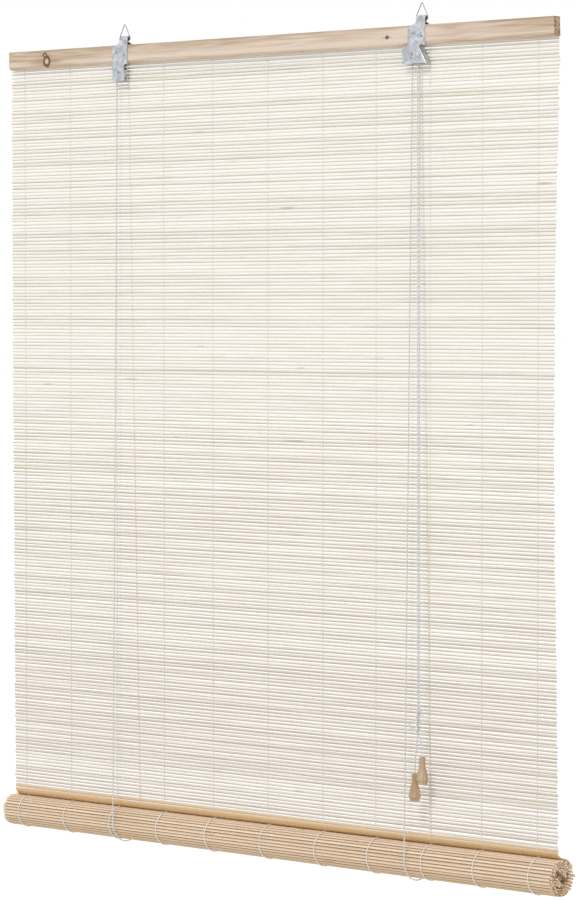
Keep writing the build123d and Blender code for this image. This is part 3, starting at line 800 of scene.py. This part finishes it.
    def lay_slats(self, name: str, points: Mesh, cut: SlatCut, finish: Material) -> Piece:
        """Slats on points that carry each one's number, turn, ends and fill.

        Args:
            name: the new piece's name.
            points: one point for each slat.
            cut: how the slats are split and laid.
            finish: bamboo material.

        Returns:
            The piece.
        """
        values = {
            "Slat width": cut.width,
            "Slat thickness": cut.thickness,
            "Corner": cut.corner,
            "Ragged ends": cut.ragged,
            "Wander": cut.wander,
            "Tilt": cut.tilt,
            "Seed": cut.seed,
            "Finish": finish,
        }
        return self.grow(name, points, self.slats, values)


def path_mesh(name: str, lines: Iterable[Sequence[Point]]) -> Mesh:
    """Mesh of open edge chains.

    Args:
        name: the mesh's name.
        lines: the points of each chain.

    Returns:
        The mesh.
    """
    points: list[Point] = []
    edges: list[tuple[int, int]] = []
    for line in lines:
        first = len(points)
        points.extend(tuple(point) for point in line)
        edges.extend((first + step, first + step + 1) for step in range(len(line) - 1))
    mesh = bpy.data.meshes.new(name)
    mesh.from_pydata(points, edges, [])
    return mesh


def smooth_line(points: Sequence[Point]) -> list[Point]:
    """Points along the smooth curve that the given points control.

    Args:
        points: control points, in metres.

    Returns:
        Points along the NURBS spline.
    """
    curve = bpy.data.curves.new("route", "CURVE")
    curve.dimensions = "3D"
    curve.resolution_u = 16
    spline = curve.splines.new("NURBS")
    spline.points.add(len(points) - 1)
    for control, place in zip(spline.points, points):
        control.co = (*place, 1.0)
    spline.order_u = 3
    spline.use_endpoint_u = True
    guide = bpy.data.objects.new("route", curve)
    bpy.context.scene.collection.objects.link(guide)
    evaluated = guide.evaluated_get(bpy.context.evaluated_depsgraph_get())
    mesh = bpy.data.meshes.new_from_object(evaluated)
    line = [tuple(vertex.co) for vertex in mesh.vertices]
    bpy.data.objects.remove(guide)
    bpy.data.meshes.remove(mesh)
    return line


@dataclass(frozen=True)
class Shortening:
    """A stretch between a fixed top and a moving foot."""

    top: float
    foot: float
    upper: Body
    lower: Body

    def join(self, piece: Piece) -> None:
        """Bake one band's placement into its mesh.

        Args:
            piece: the band, a mesh.
        """
        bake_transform(piece)


@dataclass(frozen=True)
class MatShape:
    """Where the mat runs, hanging and rolled, in metres."""

    hang_y: float = 0.0096
    top: float = -0.03217
    roll_y: float = 0.0146
    roll_z: float = -0.98047
    roll_radius: float = 0.022
    turn_pitch: float = 0.0023
    turns: float = 4.2
    bend_radius: float = 0.008
    joint_gap: float = 0.0003
    right_edge: float = 0.447
    width: float = 0.896
    left_taper: float = 0.08
    taper_above: float = 0.003
    taper_below: float = 0.002
    slat_pitch: float = 0.0041
    slat_width: float = 0.0027
    slat_thickness: float = 0.0016

    @property
    def bend_y(self) -> float:
        """Depth of the bend's end, over the roll."""
        return self.hang_y + self.bend_radius

    @property
    def start_angle(self) -> float:
        """Angle from the roll's top where the rolled part begins."""
        return math.asin((self.bend_y + self.joint_gap - self.roll_y) / self.roll_radius)

    @property
    def bend_z(self) -> float:
        """Height where the straight part ends."""
        return self.roll_z + self.roll_radius * math.cos(self.start_angle) + self.bend_radius

    @property
    def straight(self) -> float:
        """Length of the straight part."""
        return self.top - self.bend_z

    @property
    def slat_count(self) -> int:
        """Slats in the hanging part."""
        length = self.straight + self.bend_radius * math.pi / 2
        return int((length + self.slat_pitch - self.slat_width) / self.slat_pitch)

    @property
    def spare(self) -> float:
        """Bare length above the first slat."""
        length = self.straight + self.bend_radius * math.pi / 2
        return length - self.slat_count * self.slat_pitch + self.slat_pitch - self.slat_width

    def hanging(self, along: float, outward: float = 0.0) -> Point:
        """Depth, height and turn of the hanging part.

        Args:
            along: distance down from its top edge.
            outward: distance off its middle, to the front.

        Returns:
            y, z and the slat's turn about X.
        """
        if along <= self.straight:
            return self.hang_y - outward, self.top - along, 0.0
        turn = (along - self.straight) / self.bend_radius
        reach = self.bend_radius + outward
        return self.bend_y - reach * math.cos(turn), self.bend_z - reach * math.sin(turn), turn

    def rolled(self, along: float, outward: float = 0.0) -> Point:
        """Depth, height and turn of the rolled part.

        Args:
            along: distance along the spiral from where the bend ends.
            outward: distance off its middle, away from the axis.

        Returns:
            y, z and the slat's turn about X.
        """
        shrink = self.turn_pitch / math.pi
        turned = (self.roll_radius - math.sqrt(self.roll_radius**2 - shrink * along)) / (shrink / 2)
        radius = self.roll_radius - shrink / 2 * turned + outward
        angle = self.start_angle + turned
        y = self.roll_y + radius * math.sin(angle)
        return y, self.roll_z + radius * math.cos(angle), math.pi / 2 - angle

    @property
    def rolled_count(self) -> int:
        """Slats in the rolled part."""
        swept = math.tau * self.turns
        length = self.roll_radius * swept - self.turn_pitch * swept**2 / (4 * math.pi)
        return int(length / self.slat_pitch)


@dataclass
class BambooMat:
    """Hanging slats and their warps, in bands."""

    shape: MatShape
    workshop: Workshop
    slat_finish: Material
    warp_finish: Material
    left_end: float = -0.449
    right_end: float = 0.447
    waist: float = 0.0075
    ragged: float = 0.0011
    swell: float = 1.1
    lean_in: float = 0.0035
    # The last slats above the roll get painted warm shadow and bounce light, and are drawn wider.
    shaded_bend_slats: int = 5
    bend_fill: float = 0.42
    warps: tuple[float, ...] = (
        -0.4256, -0.3426, -0.2597, -0.177, -0.0929, -0.0009,
        0.0887, 0.1727, 0.2562, 0.3346, 0.4169,
    )
    warp_radius: float = 0.00028
    warp_dip: float = 0.0003
    warp_sway: float = 0.0004
    band_starts: tuple[int, ...] = (
        0, 3, 8, 15, 25, 38, 54, 72, 92,
        113, 134, 154, 172, 188, 201, 211, 218, 223,
    )

    def place_of(self, number: float, outward: float = 0.0) -> Point:
        """Depth, height and turn of a slat.

        Args:
            number: the slat's; half a number is a gap's middle.
            outward: distance off the mat's middle, to the front.

        Returns:
            y, z and the slat's turn about X.
        """
        shape = self.shape
        along = shape.spare + number * shape.slat_pitch + shape.slat_width / 2
        return shape.hanging(along, outward)

    def slat_points(self, numbers: range) -> Mesh:
        """Points that carry each slat's number, ends, turn, fill and painted shade.

        Args:
            numbers: the slats.

        Returns:
            One point for each slat.
        """
        places = [self.place_of(number) for number in numbers]
        first_shaded_bend_slat = self.shape.slat_count - self.shaded_bend_slats
        near_roll = [max(0.0, min(1.0, (number - first_shaded_bend_slat) / 2)) for number in numbers]
        shares = [number / self.shape.slat_count for number in numbers]
        mesh = point_mesh(places, numbers.start + 1)
        store(mesh, "left_end", "FLOAT", [self.left_end + self.lean_in * share**2 for share in shares])
        store(mesh, "right_end", "FLOAT", [self.right_end - self.waist * bulge(share) for share in shares])
        store(mesh, "slat_fill", "FLOAT", [1.0 + self.bend_fill * closeness for closeness in near_roll])
        store(mesh, "slat_painted_shade", "FLOAT", near_roll)
        return mesh

    def warp_lines(self, numbers: range) -> list[list[Point]]:
        """Front and back warps over these slats, dipping into each gap.

        Args:
            numbers: the slats.

        Returns:
            The points of each warp.
        """
        thick = self.shape.slat_thickness / 2 + self.warp_radius
        lines = []
        for x in self.warps:
            for side in (1, -1):
                line = []
                for number in numbers:
                    for half, outward in ((0.0, thick), (0.5, self.warp_dip)):
                        if number + half <= self.shape.slat_count - 1:
                            y, z, turn = self.place_of(number + half, side * outward)
                            line.append((x + self.warp_sway * side * (1 if half else -1), y, z))
                if numbers.stop < self.shape.slat_count:
                    y, z, turn = self.place_of(numbers.stop, side * thick)
                    line.append((x - self.warp_sway * side, y, z))
                lines.append(line)
        return lines

    def build(self) -> None:
        """Make every band of slats and of warps."""
        shape = self.shape
        edges = [*self.band_starts, shape.slat_count]
        foot = self.place_of(shape.slat_count - 1)[1]
        fall = Shortening(shape.top, foot, Body.RAIL, Body.SLINGS)
        width = shape.slat_width * self.swell
        cut = SlatCut(width, shape.slat_thickness, self.ragged, wander=0.0011, tilt=0.0006, seed=11)
        gauge = Gauge(self.warp_radius, shape.slat_pitch / 2, sides=4)
        for band, (first, last) in enumerate(zip(edges, edges[1:])):
            numbers = range(first, last)
            high = min(shape.top, self.place_of(first - 0.5)[1])
            low = max(foot, self.place_of(last - 0.5)[1]) if last < shape.slat_count else foot
            name = f"mat_slats_{band + 1:02d}"
            slats = self.workshop.lay_slats(name, self.slat_points(numbers), cut, self.slat_finish)
            settle(slats, shape)
            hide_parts("mat")
            fall.join(slats)
            name = f"mat_warps_{band + 1:02d}"
            warps = self.workshop.threads(name, self.warp_lines(numbers), gauge, self.warp_finish)
            settle(warps, shape)
            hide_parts("warp_threads")
            fall.join(warps)
        LOG.info("mat: %d slats in %d bands, %d warps", shape.slat_count, len(edges) - 1, len(self.warps))


def bulge(share: float) -> float:
    """How far the mat's right edge draws in, from 0 at its ends to 1."""
    return math.sin(math.pi * min(1.0, max(0.0, share)) ** 0.85) ** 1.4


def store(mesh: Mesh, name: str, kind: str, values: Sequence[float]) -> None:
    """Give each point of a mesh a value of its own.

    Args:
        mesh: the mesh.
        name: name of the attribute.
        kind: FLOAT or INT.
        values: one for each point.
    """
    mesh.attributes.new(name, kind, "POINT").data.foreach_set("value", list(values))


def point_mesh(places: Sequence[Point], first: int) -> Mesh:
    """One point for each slat, with the slat's number and turn.

    Args:
        places: depth, height and turn of each slat.
        first: the first slat's number.

    Returns:
        The mesh.
    """
    mesh = bpy.data.meshes.new("slat points")
    mesh.from_pydata([(0.0, y, z) for y, z, turn in places], [], [])
    store(mesh, "slat_number", "INT", range(first, first + len(places)))
    store(mesh, "slat_turn", "FLOAT", [turn for y, z, turn in places])
    return mesh


@dataclass
class RolledMat:
    """The part of the mat that is wound up, with its warps."""

    shape: MatShape
    workshop: Workshop
    slat_finish: Material
    warp_finish: Material
    warps: tuple[float, ...]
    left_end: float = -0.4555
    right_end: float = 0.4482
    ragged: float = 0.0014
    sunk: float = -0.0004
    core_tilt: float = math.radians(-37.0)
    core_layers: tuple[tuple[float, int], ...] = ((0.0056, 5), (0.0078, 4), (0.0098, 2))
    core_pitch: float = 0.0034
    first_slat: float = 0.33
    first_number: int = 401
    swell: float = 1.15
    # Slats below the roll's crest get painted shade for the roll's underside.
    shade_below: float = 0.004
    shade_reach: float = 0.014
    painted_shade_share: float = 0.55
    warp_radius: float = 0.0006
    warp_dip: float = 0.0004
    warp_sway: float = 0.0003
    warp_turn: float = 0.99

    def build(self) -> None:
        """Make the spiral of slats and the warps round its outer turn."""
        shape = self.shape
        width = shape.slat_width * self.swell
        cut = SlatCut(width, shape.slat_thickness, self.ragged, wander=0.0006, tilt=0.0003, seed=29)
        points = self.slat_points()
        count = len(points.vertices)
        roll = self.workshop.lay_slats("rolled_slats", points, cut, self.slat_finish)
        settle(roll, shape)
        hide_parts("roll_turns")
        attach(roll, Body.ROLL.value)
        gauge = Gauge(self.warp_radius, shape.slat_pitch / 2, sides=6)
        warps = self.workshop.threads("rolled_warps", self.warp_lines(), gauge, self.warp_finish)
        settle(warps, shape)
        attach(warps, Body.ROLL.value)
        LOG.info("roll: %d slats wound, %d warps", count, len(self.warps))

    def slat_points(self) -> Mesh:
        """Points on the spiral and in the core that carry each slat's number, ends, turn and painted shade.

        Returns:
            One point for each slat.
        """
        shape = self.shape
        pitch = shape.slat_pitch
        spiral = range(shape.rolled_count)
        places = [shape.rolled((number + self.first_slat) * pitch, self.sunk) for number in spiral]
        crest = shape.roll_z - self.shade_below
        lowness = [max(0.0, min(1.0, (crest - z) / self.shade_reach)) for y, z, turn in places]
        core = self.core_places()
        places += core
        lowness += [0.0] * len(core)
        count = len(places)
        mesh = point_mesh(places, self.first_number)
        store(mesh, "left_end", "FLOAT", [self.left_end] * count)
        store(mesh, "right_end", "FLOAT", [self.right_end] * count)
        store(mesh, "slat_fill", "FLOAT", [1.0] * count)
        store(mesh, "slat_painted_shade", "FLOAT", [self.painted_shade_share * low for low in lowness])
        return mesh

    def warp_lines(self) -> list[list[Point]]:
        """Warps round the roll's outer turn, dipping between its slats.

        Returns:
            The points of each warp.
        """
        shape = self.shape
        thick = shape.slat_thickness / 2 + self.warp_radius
        around = int(math.tau * shape.roll_radius * self.warp_turn / shape.slat_pitch)
        lines = []
        for x in self.warps:
            line = []
            for number in range(around):
                for half, outward in ((0.0, thick), (0.5, thick - self.warp_dip)):
                    along = (number + half) * shape.slat_pitch + shape.slat_width / 2
                    y, z, turn = shape.rolled(along, outward)
                    line.append((x + (self.warp_sway if half else -self.warp_sway), y, z))
            lines.append(line)
        return lines

    def core_places(self) -> list[Point]:
        """Slats wound flat about the batten in the roll's core.

        Returns:
            Depth, height and turn of each.
        """
        shape = self.shape
        places = []
        across = Vector((math.cos(self.core_tilt), math.sin(self.core_tilt)))
        outward = Vector((-across.y, across.x))
        for distance, slats in self.core_layers:
            for side in (1, -1):
                for slat in range(slats):
                    offset = (slat - (slats - 1) / 2) * self.core_pitch
                    spot = across * offset + outward * (side * distance)
                    turn = self.core_tilt + math.pi / 2
                    places.append((shape.roll_y + spot.x, shape.roll_z + spot.y, turn))
        return places


def settle(piece: Piece, shape: MatShape) -> None:
    """Let a piece follow the roll, which is tighter at its left end and rests on its slings.

    Args:
        piece: part of the roll, or of the mat above it.
        shape: where the mat runs.
    """
    foot = shape.roll_z - shape.roll_radius
    crown = shape.bend_z - shape.bend_radius
    fades_from = shape.bend_z + shape.taper_above
    whole_from = crown + shape.taper_below
    for vertex in piece.data.vertices:
        slack = shape.left_taper * max(0.0, (shape.right_edge - vertex.co.x) / shape.width)
        if vertex.co.z <= whole_from or piece.name.startswith("rolled"):
            vertex.co.z = foot + (vertex.co.z - foot) * (1 - slack)
            vertex.co.y = shape.roll_y + (vertex.co.y - shape.roll_y) * (1 - slack)
        elif vertex.co.z < fades_from:
            share = (fades_from - vertex.co.z) / (fades_from - whole_from)
            vertex.co.z -= slack * (crown - foot) * share


@dataclass
class Cords:
    """Every cord of the blind: lift runs, slings, pull cords, their knot and the tails."""

    shape: MatShape
    workshop: Workshop
    finish: Material
    rear_finish: Material
    radius: float = 0.0008
    shares: tuple[float, ...] = (0.0, 0.06, 0.17, 0.33, 0.5, 0.67, 0.83, 0.94, 1.0)
    sling_steps: int = 24
    tail_drop: float = 0.012
    knot_turns: int = 9
    knot_steps: int = 14
    knot_depth: float = 0.003
    upper_loop: tuple[Point, ...] = (
        (0.0, 0.0, -0.002),
        (0.0035, -0.001, 0.0015),
        (0.0075, 0.0, 0.001),
        (0.0085, 0.001, -0.003),
        (0.005, 0.0005, -0.0055),
        (0.0005, 0.0, -0.005),
    )
    lower_loop: tuple[Point, ...] = (
        (0.0, 0.0, 0.012),
        (-0.004, -0.001, 0.0135),
        (-0.0105, 0.0, 0.0125),
        (-0.0125, 0.001, 0.0085),
        (-0.009, 0.0005, 0.0055),
        (-0.0035, 0.0, 0.0065),
        (0.0005, 0.0, 0.0085),
    )

    def build(self) -> None:
        """Make the runs, the slings, the pull cords, the tails and the knot."""
        for side in ("left", "right"):
            for place in ("front", "rear"):
                node = f"{side}_{place}_cord"
                top, foot = self.ends_of(node, leans_back=place == "rear")
                self.run(node, top, foot, Body.SLINGS)
            self.sling(side)
        for place in ("front", "rear"):
            node = f"{place}_pull_cord"
            top, foot = self.ends_of(node, leans_back=False, leans_right=True)
            self.run(node, top, foot, Body.PULLS)
        for place in ("upper", "lower"):
            self.tail(place)
        self.knot()
        LOG.info("cords: four lift runs, two slings, two pull cords, two tails and a knot")

    def ends_of(self, node: str, leans_back: bool, leans_right: bool = False) -> tuple[Point, Point]:
        """Both ends of a straight CAD cord.

        Args:
            node: the CAD node.
            leans_back: whether its foot is behind its top.
            leans_right: whether its foot is right of its top.

        Returns:
            Its upper end and its lower end.
        """
        low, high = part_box(node)
        near, far = low.y + self.radius, high.y - self.radius
        top_y, foot_y = (near, far) if leans_back else (far, near)
        left, right = low.x + self.radius, high.x - self.radius
        top_x, foot_x = (left, right) if leans_right else ((left + right) / 2,) * 2
        return (top_x, top_y, high.z), (foot_x, foot_y, low.z)

    def run(self, node: str, top: Point, foot: Point, lower: Body) -> None:
        """One straight run, as bands that replace its CAD node.

        Args:
            node: CAD node that the run replaces.
            top: its upper end.
            foot: its lower end.
            lower: body that its foot moves with.
        """
        high, low = Vector(top), Vector(foot)
        fall = Shortening(high.z, low.z, Body.RAIL, lower)
        for band, (first, last) in enumerate(zip(self.shares, self.shares[1:])):
            steps = (first, first + (last - first) / 3, last - (last - first) / 3, last)
            line = smooth_line([tuple(high.lerp(low, share)) for share in steps])
            finish = self.rear_finish if node.endswith("rear_cord") else self.finish
            piece = self.workshop.cord(f"{node}_{band + 1}", line, finish)
            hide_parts(node)
            fall.join(piece)
            if lower is Body.PULLS:
                self.declare(line)

    def declare(self, line: Sequence[Point]) -> None:
        """Add up the length of a cord's line; the length is not kept.

        Args:
            line: its points, from its fixed end down.
        """
        spans = zip(line, line[1:])
        length = sum((Vector(second) - Vector(first)).length for first, second in spans)

    def sling(self, side: str) -> None:
        """The cord under the roll on one side.

        Args:
            side: left or right.
        """
        node = f"{side}_sling"
        low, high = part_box(node)
        x = (low.x + high.x) / 2
        axis_y, axis_z = self.shape.roll_y, self.shape.roll_z
        radius = axis_z - low.z - self.radius
        half = math.asin(min(1.0, (high.z - axis_z) / radius))
        line = []
        for step in range(self.sling_steps + 1):
            angle = math.pi - half + (math.pi + 2 * half) * step / self.sling_steps
            line.append((x, axis_y + radius * math.cos(angle), axis_z + radius * math.sin(angle)))
        piece = self.workshop.cord(f"{node}_cord", line, self.finish)
        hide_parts(node)
        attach(piece, Body.SLINGS.value)

    def tail(self, place: str) -> None:
        """The cord from the knot into one wooden bell.

        Args:
            place: upper or lower.
        """
        node = f"{place}_tail"
        low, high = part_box(node)
        bell_low, bell_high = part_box(f"{place}_pull")
        bell_x = (bell_low.x + bell_high.x) / 2
        y = (low.y + high.y) / 2
        knot_x = low.x + self.radius if place == "upper" else high.x - self.radius
        straight_from = bell_high.z + self.tail_drop
        points = [
            (knot_x, y, high.z),
            (knot_x + 0.35 * (bell_x - knot_x), y, high.z - 0.35 * (high.z - straight_from)),
            (bell_x, y, straight_from),
            (bell_x, y, bell_high.z),
            (bell_x, y, low.z),
        ]
        line = smooth_line(points)
        piece = self.workshop.cord(f"{node}_cord", line, self.finish)
        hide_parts(node)
        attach(piece, Body.PULLS.value)
        self.declare(line)

    def knot(self) -> None:
        """The knot of the pull cords: turns wound round both, and a small loop on each side."""
        low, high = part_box("cord_knot")
        x, y = (low.x + high.x) / 2, (low.y + high.y) / 2
        length = high.z - low.z
        steps = self.knot_turns * self.knot_steps
        wound = []
        for step in range(steps + 1):
            share = step / steps
            angle = math.tau * step / self.knot_steps
            radius = 0.0014 + 0.0011 * (math.cos(math.tau * 2 * share) ** 2 if share < 0.4 else 0.35)
            height = high.z - self.radius - share * (length - 2 * self.radius)
            wound.append((x + radius * math.cos(angle), y + radius * math.sin(angle), height))
        lines = {"knot_turns": wound}
        for name, loop, base in (
            ("knot_upper_loop", self.upper_loop, high.z),
            ("knot_lower_loop", self.lower_loop, low.z),
        ):
            front = y - self.knot_depth
            points = [(x + across, front + ahead, base + up) for across, ahead, up in loop]
            lines[name] = smooth_line(points)
        for name, line in lines.items():
            piece = self.workshop.cord(name, line, self.finish, self.radius * 0.95)
            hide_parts("cord_knot")
            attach(piece, Body.PULLS.value)


@dataclass
class Bells:
    """The two turned wooden bells on the cord ends."""

    finish: Material
    fullness: float = 1.28
    smooth_up_to: float = math.radians(40)

    def build(self) -> None:
        """Turn both bells a little fuller than the plain solids."""
        for node in ("upper_pull", "lower_pull"):
            low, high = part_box(node)
            x, y = (low.x + high.x) / 2, (low.y + high.y) / 2
            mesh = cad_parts[node].data.copy()
            shape = bmesh.new()
            shape.from_mesh(mesh)
            bmesh.ops.remove_doubles(shape, verts=shape.verts, dist=1e-6)
            for corner in shape.verts:
                corner.co.x = x + (corner.co.x - x) * self.fullness
                corner.co.y = y + (corner.co.y - y) * self.fullness
            shape.to_mesh(mesh)
            shape.free()
            mesh.polygons.foreach_set("use_smooth", [True] * len(mesh.polygons))
            mesh.set_sharp_from_angle(angle=self.smooth_up_to)
            mesh.materials.clear()
            mesh.materials.append(self.finish)
            piece = bpy.data.objects.new(f"{node}_turned", mesh)
            bpy.context.scene.collection.objects.link(piece)
            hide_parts(node)
            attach(piece, Body.PULLS.value)
        LOG.info("bells: two turned bells")


@dataclass(frozen=True)
class Lamp:
    """A soft sun: its strength, and its spread, lean and turn in degrees."""

    name: str
    strength: float
    spread: float
    lean: float
    turn: float


@dataclass
class Studio:
    """Floor, light and camera."""

    camera_at: Point = (3.2046, -3.3158, -0.3486)
    azimuth: float = 43.646
    elevation: float = 2.055
    lens: float = 155.6
    sensor: float = 36.0
    sees_to: float = 200.0
    floor_at: float = -2.75
    floor_reach: float = 60.0
    floor_colour: Colour = (0.93, 0.93, 0.93)
    floor_glow: float = 0.22
    sky_strength: float = 0.68
    white: Colour = (1.0, 1.0, 1.0)
    lamps: tuple[Lamp, ...] = (Lamp("key", 1.0, 14.0, 48.0, 18.0), Lamp("fill", 0.2, 40.0, 70.0, 75.0))

    def build(self) -> None:
        """Make the floor, the sky, the lamps and the camera."""
        scene = bpy.context.scene
        scene.view_settings.view_transform = "Standard"
        camera = bpy.data.objects.new("camera", bpy.data.cameras.new("camera"))
        camera.data.lens = self.lens
        camera.data.sensor_width = self.sensor
        camera.data.clip_end = self.sees_to
        camera.location = self.camera_at
        camera.rotation_euler = (math.radians(90 - self.elevation), 0.0, math.radians(self.azimuth))
        scene.collection.objects.link(camera)
        scene.camera = camera
        self._floor()
        self._sky()
        for lamp in self.lamps:
            sun = bpy.data.objects.new(lamp.name, bpy.data.lights.new(lamp.name, "SUN"))
            sun.data.energy = lamp.strength
            sun.data.angle = math.radians(lamp.spread)
            sun.rotation_euler = (math.radians(lamp.lean), 0.0, math.radians(lamp.turn))
            scene.collection.objects.link(sun)
        LOG.info("studio: camera, floor, sky and lamps")

    def _floor(self) -> None:
        """Pale floor well below the hanging blind."""
        mesh = bpy.data.meshes.new("floor")
        reach, height = self.floor_reach, self.floor_at
        corners = [(-reach, -reach), (reach, -reach), (reach, reach), (-reach, reach)]
        mesh.from_pydata([(x, y, height) for x, y in corners], [], [(0, 1, 2, 3)])
        floor = bpy.data.objects.new("floor", mesh)
        bpy.context.scene.collection.objects.link(floor)
        material, w, shader = new_material("floor paint", 0.9)
        w.feed(shader.inputs["Base Color"], self.floor_colour)
        w.feed(shader.inputs["Emission Color"], self.white)
        seen = w.add("ShaderNodeLightPath").outputs["Is Camera Ray"]
        w.feed(shader.inputs["Emission Strength"], w.math("MULTIPLY", seen, self.floor_glow))
        mesh.materials.append(material)

    def _sky(self) -> None:
        """White to the camera and in reflections, plain soft light to the rest."""
        world = bpy.data.worlds.new("sky")
        world.use_nodes = True
        world.node_tree.nodes.clear()
        w = Wiring(world.node_tree)
        rays = w.add("ShaderNodeLightPath")
        seen = w.math("MAXIMUM", rays.outputs["Is Camera Ray"], rays.outputs["Is Glossy Ray"])
        seen = w.math("MAXIMUM", seen, rays.outputs["Is Transmission Ray"])
        light = w.add("ShaderNodeBackground", {"Color": self.white, "Strength": self.sky_strength})
        white = w.add("ShaderNodeBackground", {"Color": self.white, "Strength": 1.0})
        both = w.add("ShaderNodeMixShader", {0: seen, 1: light.outputs[0], 2: white.outputs[0]})
        w.add("ShaderNodeOutputWorld", {"Surface": both.outputs[0]})
        bpy.context.scene.world = world


def paint(material: Material, *nodes: str) -> None:
    """Put a finish on CAD nodes.

    Args:
        material: the finish.
        nodes: names of the CAD nodes.
    """
    for node in nodes:
        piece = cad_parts[node]
        piece.data.materials.clear()
        piece.data.materials.append(material)


# Hanging copy of the bamboo, painted paler for light coming through the thin slats; its warm colour is
# painted shadow and bounce light by the roll.
BACKLIT_MAT_BAMBOO = BambooFinish(
    "hanging bamboo",
    pale=(0.97, 0.93, 0.83),
    tan=(0.52, 0.43, 0.33),
    mark=(0.40, 0.29, 0.18),
    painted_warm_shade=(0.72, 0.46, 0.20),
    foot_tint=0.3,
)
# Rolled copy of the same bamboo, painted deeper for the shade inside the roll; its warm colour is painted
# shade on the roll's underside.
SHADED_ROLL_BAMBOO = BambooFinish(
    "rolled bamboo",
    pale=(0.92, 0.73, 0.535),
    tan=(0.52, 0.37, 0.24),
    mark=(0.34, 0.21, 0.11),
    painted_warm_shade=(0.62, 0.39, 0.19),
    painted_edge_light=0.22,
)
WARP_COTTON = CottonFinish("warp cotton", (0.9, 0.88, 0.83), (0.74, 0.71, 0.64))
CORD_COTTON = CottonFinish("cord cotton", (0.94, 0.93, 0.92), (0.50, 0.49, 0.49))
# Paler, warmer copy of the cord cotton with a painted glow, standing in for light reaching the rear cords
# through the mat's gaps.
REAR_CORD_COTTON = CottonFinish(
    "rear cord cotton",
    (0.84, 0.76, 0.64),
    (0.62, 0.50, 0.37),
    strand_contrast=0.5,
    painted_glow=(0.26, 0.20, 0.13),
)
LAID_CORD = CottonFinish("laid cord", (0.88, 0.88, 0.87), (0.5, 0.5, 0.5), pitch=0.0022)
PINE = WoodFinish(
    "pine",
    (0.76, 0.63, 0.51),
    (0.47, 0.32, 0.20),
    Axis.ALONG_RAIL,
    knots=(
        KnotSpot((-0.3762, -0.002, -0.0303), (0.0036, 0.02, 0.0032), (0.012, 0.05, 0.003), 0.5),
        KnotSpot((-0.3727, -0.002, -0.0382), (0.0062, 0.02, 0.0066), (0.036, 0.05, 0.0055)),
        KnotSpot((0.2, -0.002, -0.036), (0.0026, 0.02, 0.0020), (0.012, 0.05, 0.002), 0.9),
    ),
    # Painted shade on the rail's upper round, painted light low on its front face and on its lower round.
    shading_bands=(
        ShadingBand(-0.0250, 0.0022, 0.22),
        ShadingBand(-0.0405, 0.0042, -0.3),
        ShadingBand(-0.0468, 0.0026, -0.25),
    ),
    ends_at=(-0.4423, 0.4485),
    darker_ends=0.2,
)
BATTEN_WOOD = WoodFinish(
    "batten wood", (0.62, 0.44, 0.29), (0.40, 0.25, 0.15), Axis.ALONG_RAIL, ends_at=(-0.444, 0.442)
)
TURNED_WOOD = WoodFinish("turned wood", (0.56, 0.41, 0.26), (0.36, 0.24, 0.13), Axis.UPRIGHT, rings=2.0)
GALVANISED = MetalFinish("galvanised sheet", (0.76, 0.79, 0.82), (0.30, 0.32, 0.35), 0.34)
WIRE = MetalFinish("steel wire", (0.42, 0.42, 0.43), (0.22, 0.22, 0.23), 0.28, 900.0)
WIRE_NODES = (
    "left_ring", "right_ring", "left_rivet", "right_rivet", "screw_eyes", "mat_staples", "bracket_nails"
)
BRASS = MetalFinish("brass", (0.72, 0.54, 0.25), (0.5, 0.36, 0.15), 0.34, 700.0)


def main() -> None:
    """Build every piece in order and report it."""
    logging.basicConfig(level=logging.INFO, format="%(name)s: %(message)s")
    Studio().build()
    effects = SurfaceEffects()
    workshop = Workshop()
    shape = MatShape()
    cotton = WARP_COTTON.build(effects)
    for finish, nodes in (
        (PINE, ("headrail",)),
        (BATTEN_WOOD, ("bottom_batten",)),
        (GALVANISED, ("left_bracket", "right_bracket")),
        (WIRE, WIRE_NODES),
        (BRASS, ("left_pulley", "right_pulley", "lock_roller")),
        (LAID_CORD, ("cross_cord", "lock_cord", "rear_knots", "pull_end_knots")),
    ):
        paint(finish.build(effects), *nodes)
    mat = BambooMat(shape, workshop, BACKLIT_MAT_BAMBOO.build(effects), cotton)
    mat.build()
    RolledMat(shape, workshop, SHADED_ROLL_BAMBOO.build(effects), cotton, mat.warps).build()
    Cords(shape, workshop, CORD_COTTON.build(effects), REAR_CORD_COTTON.build(effects)).build()
    Bells(TURNED_WOOD.build(effects)).build()


if __name__ == "__main__":
    main()
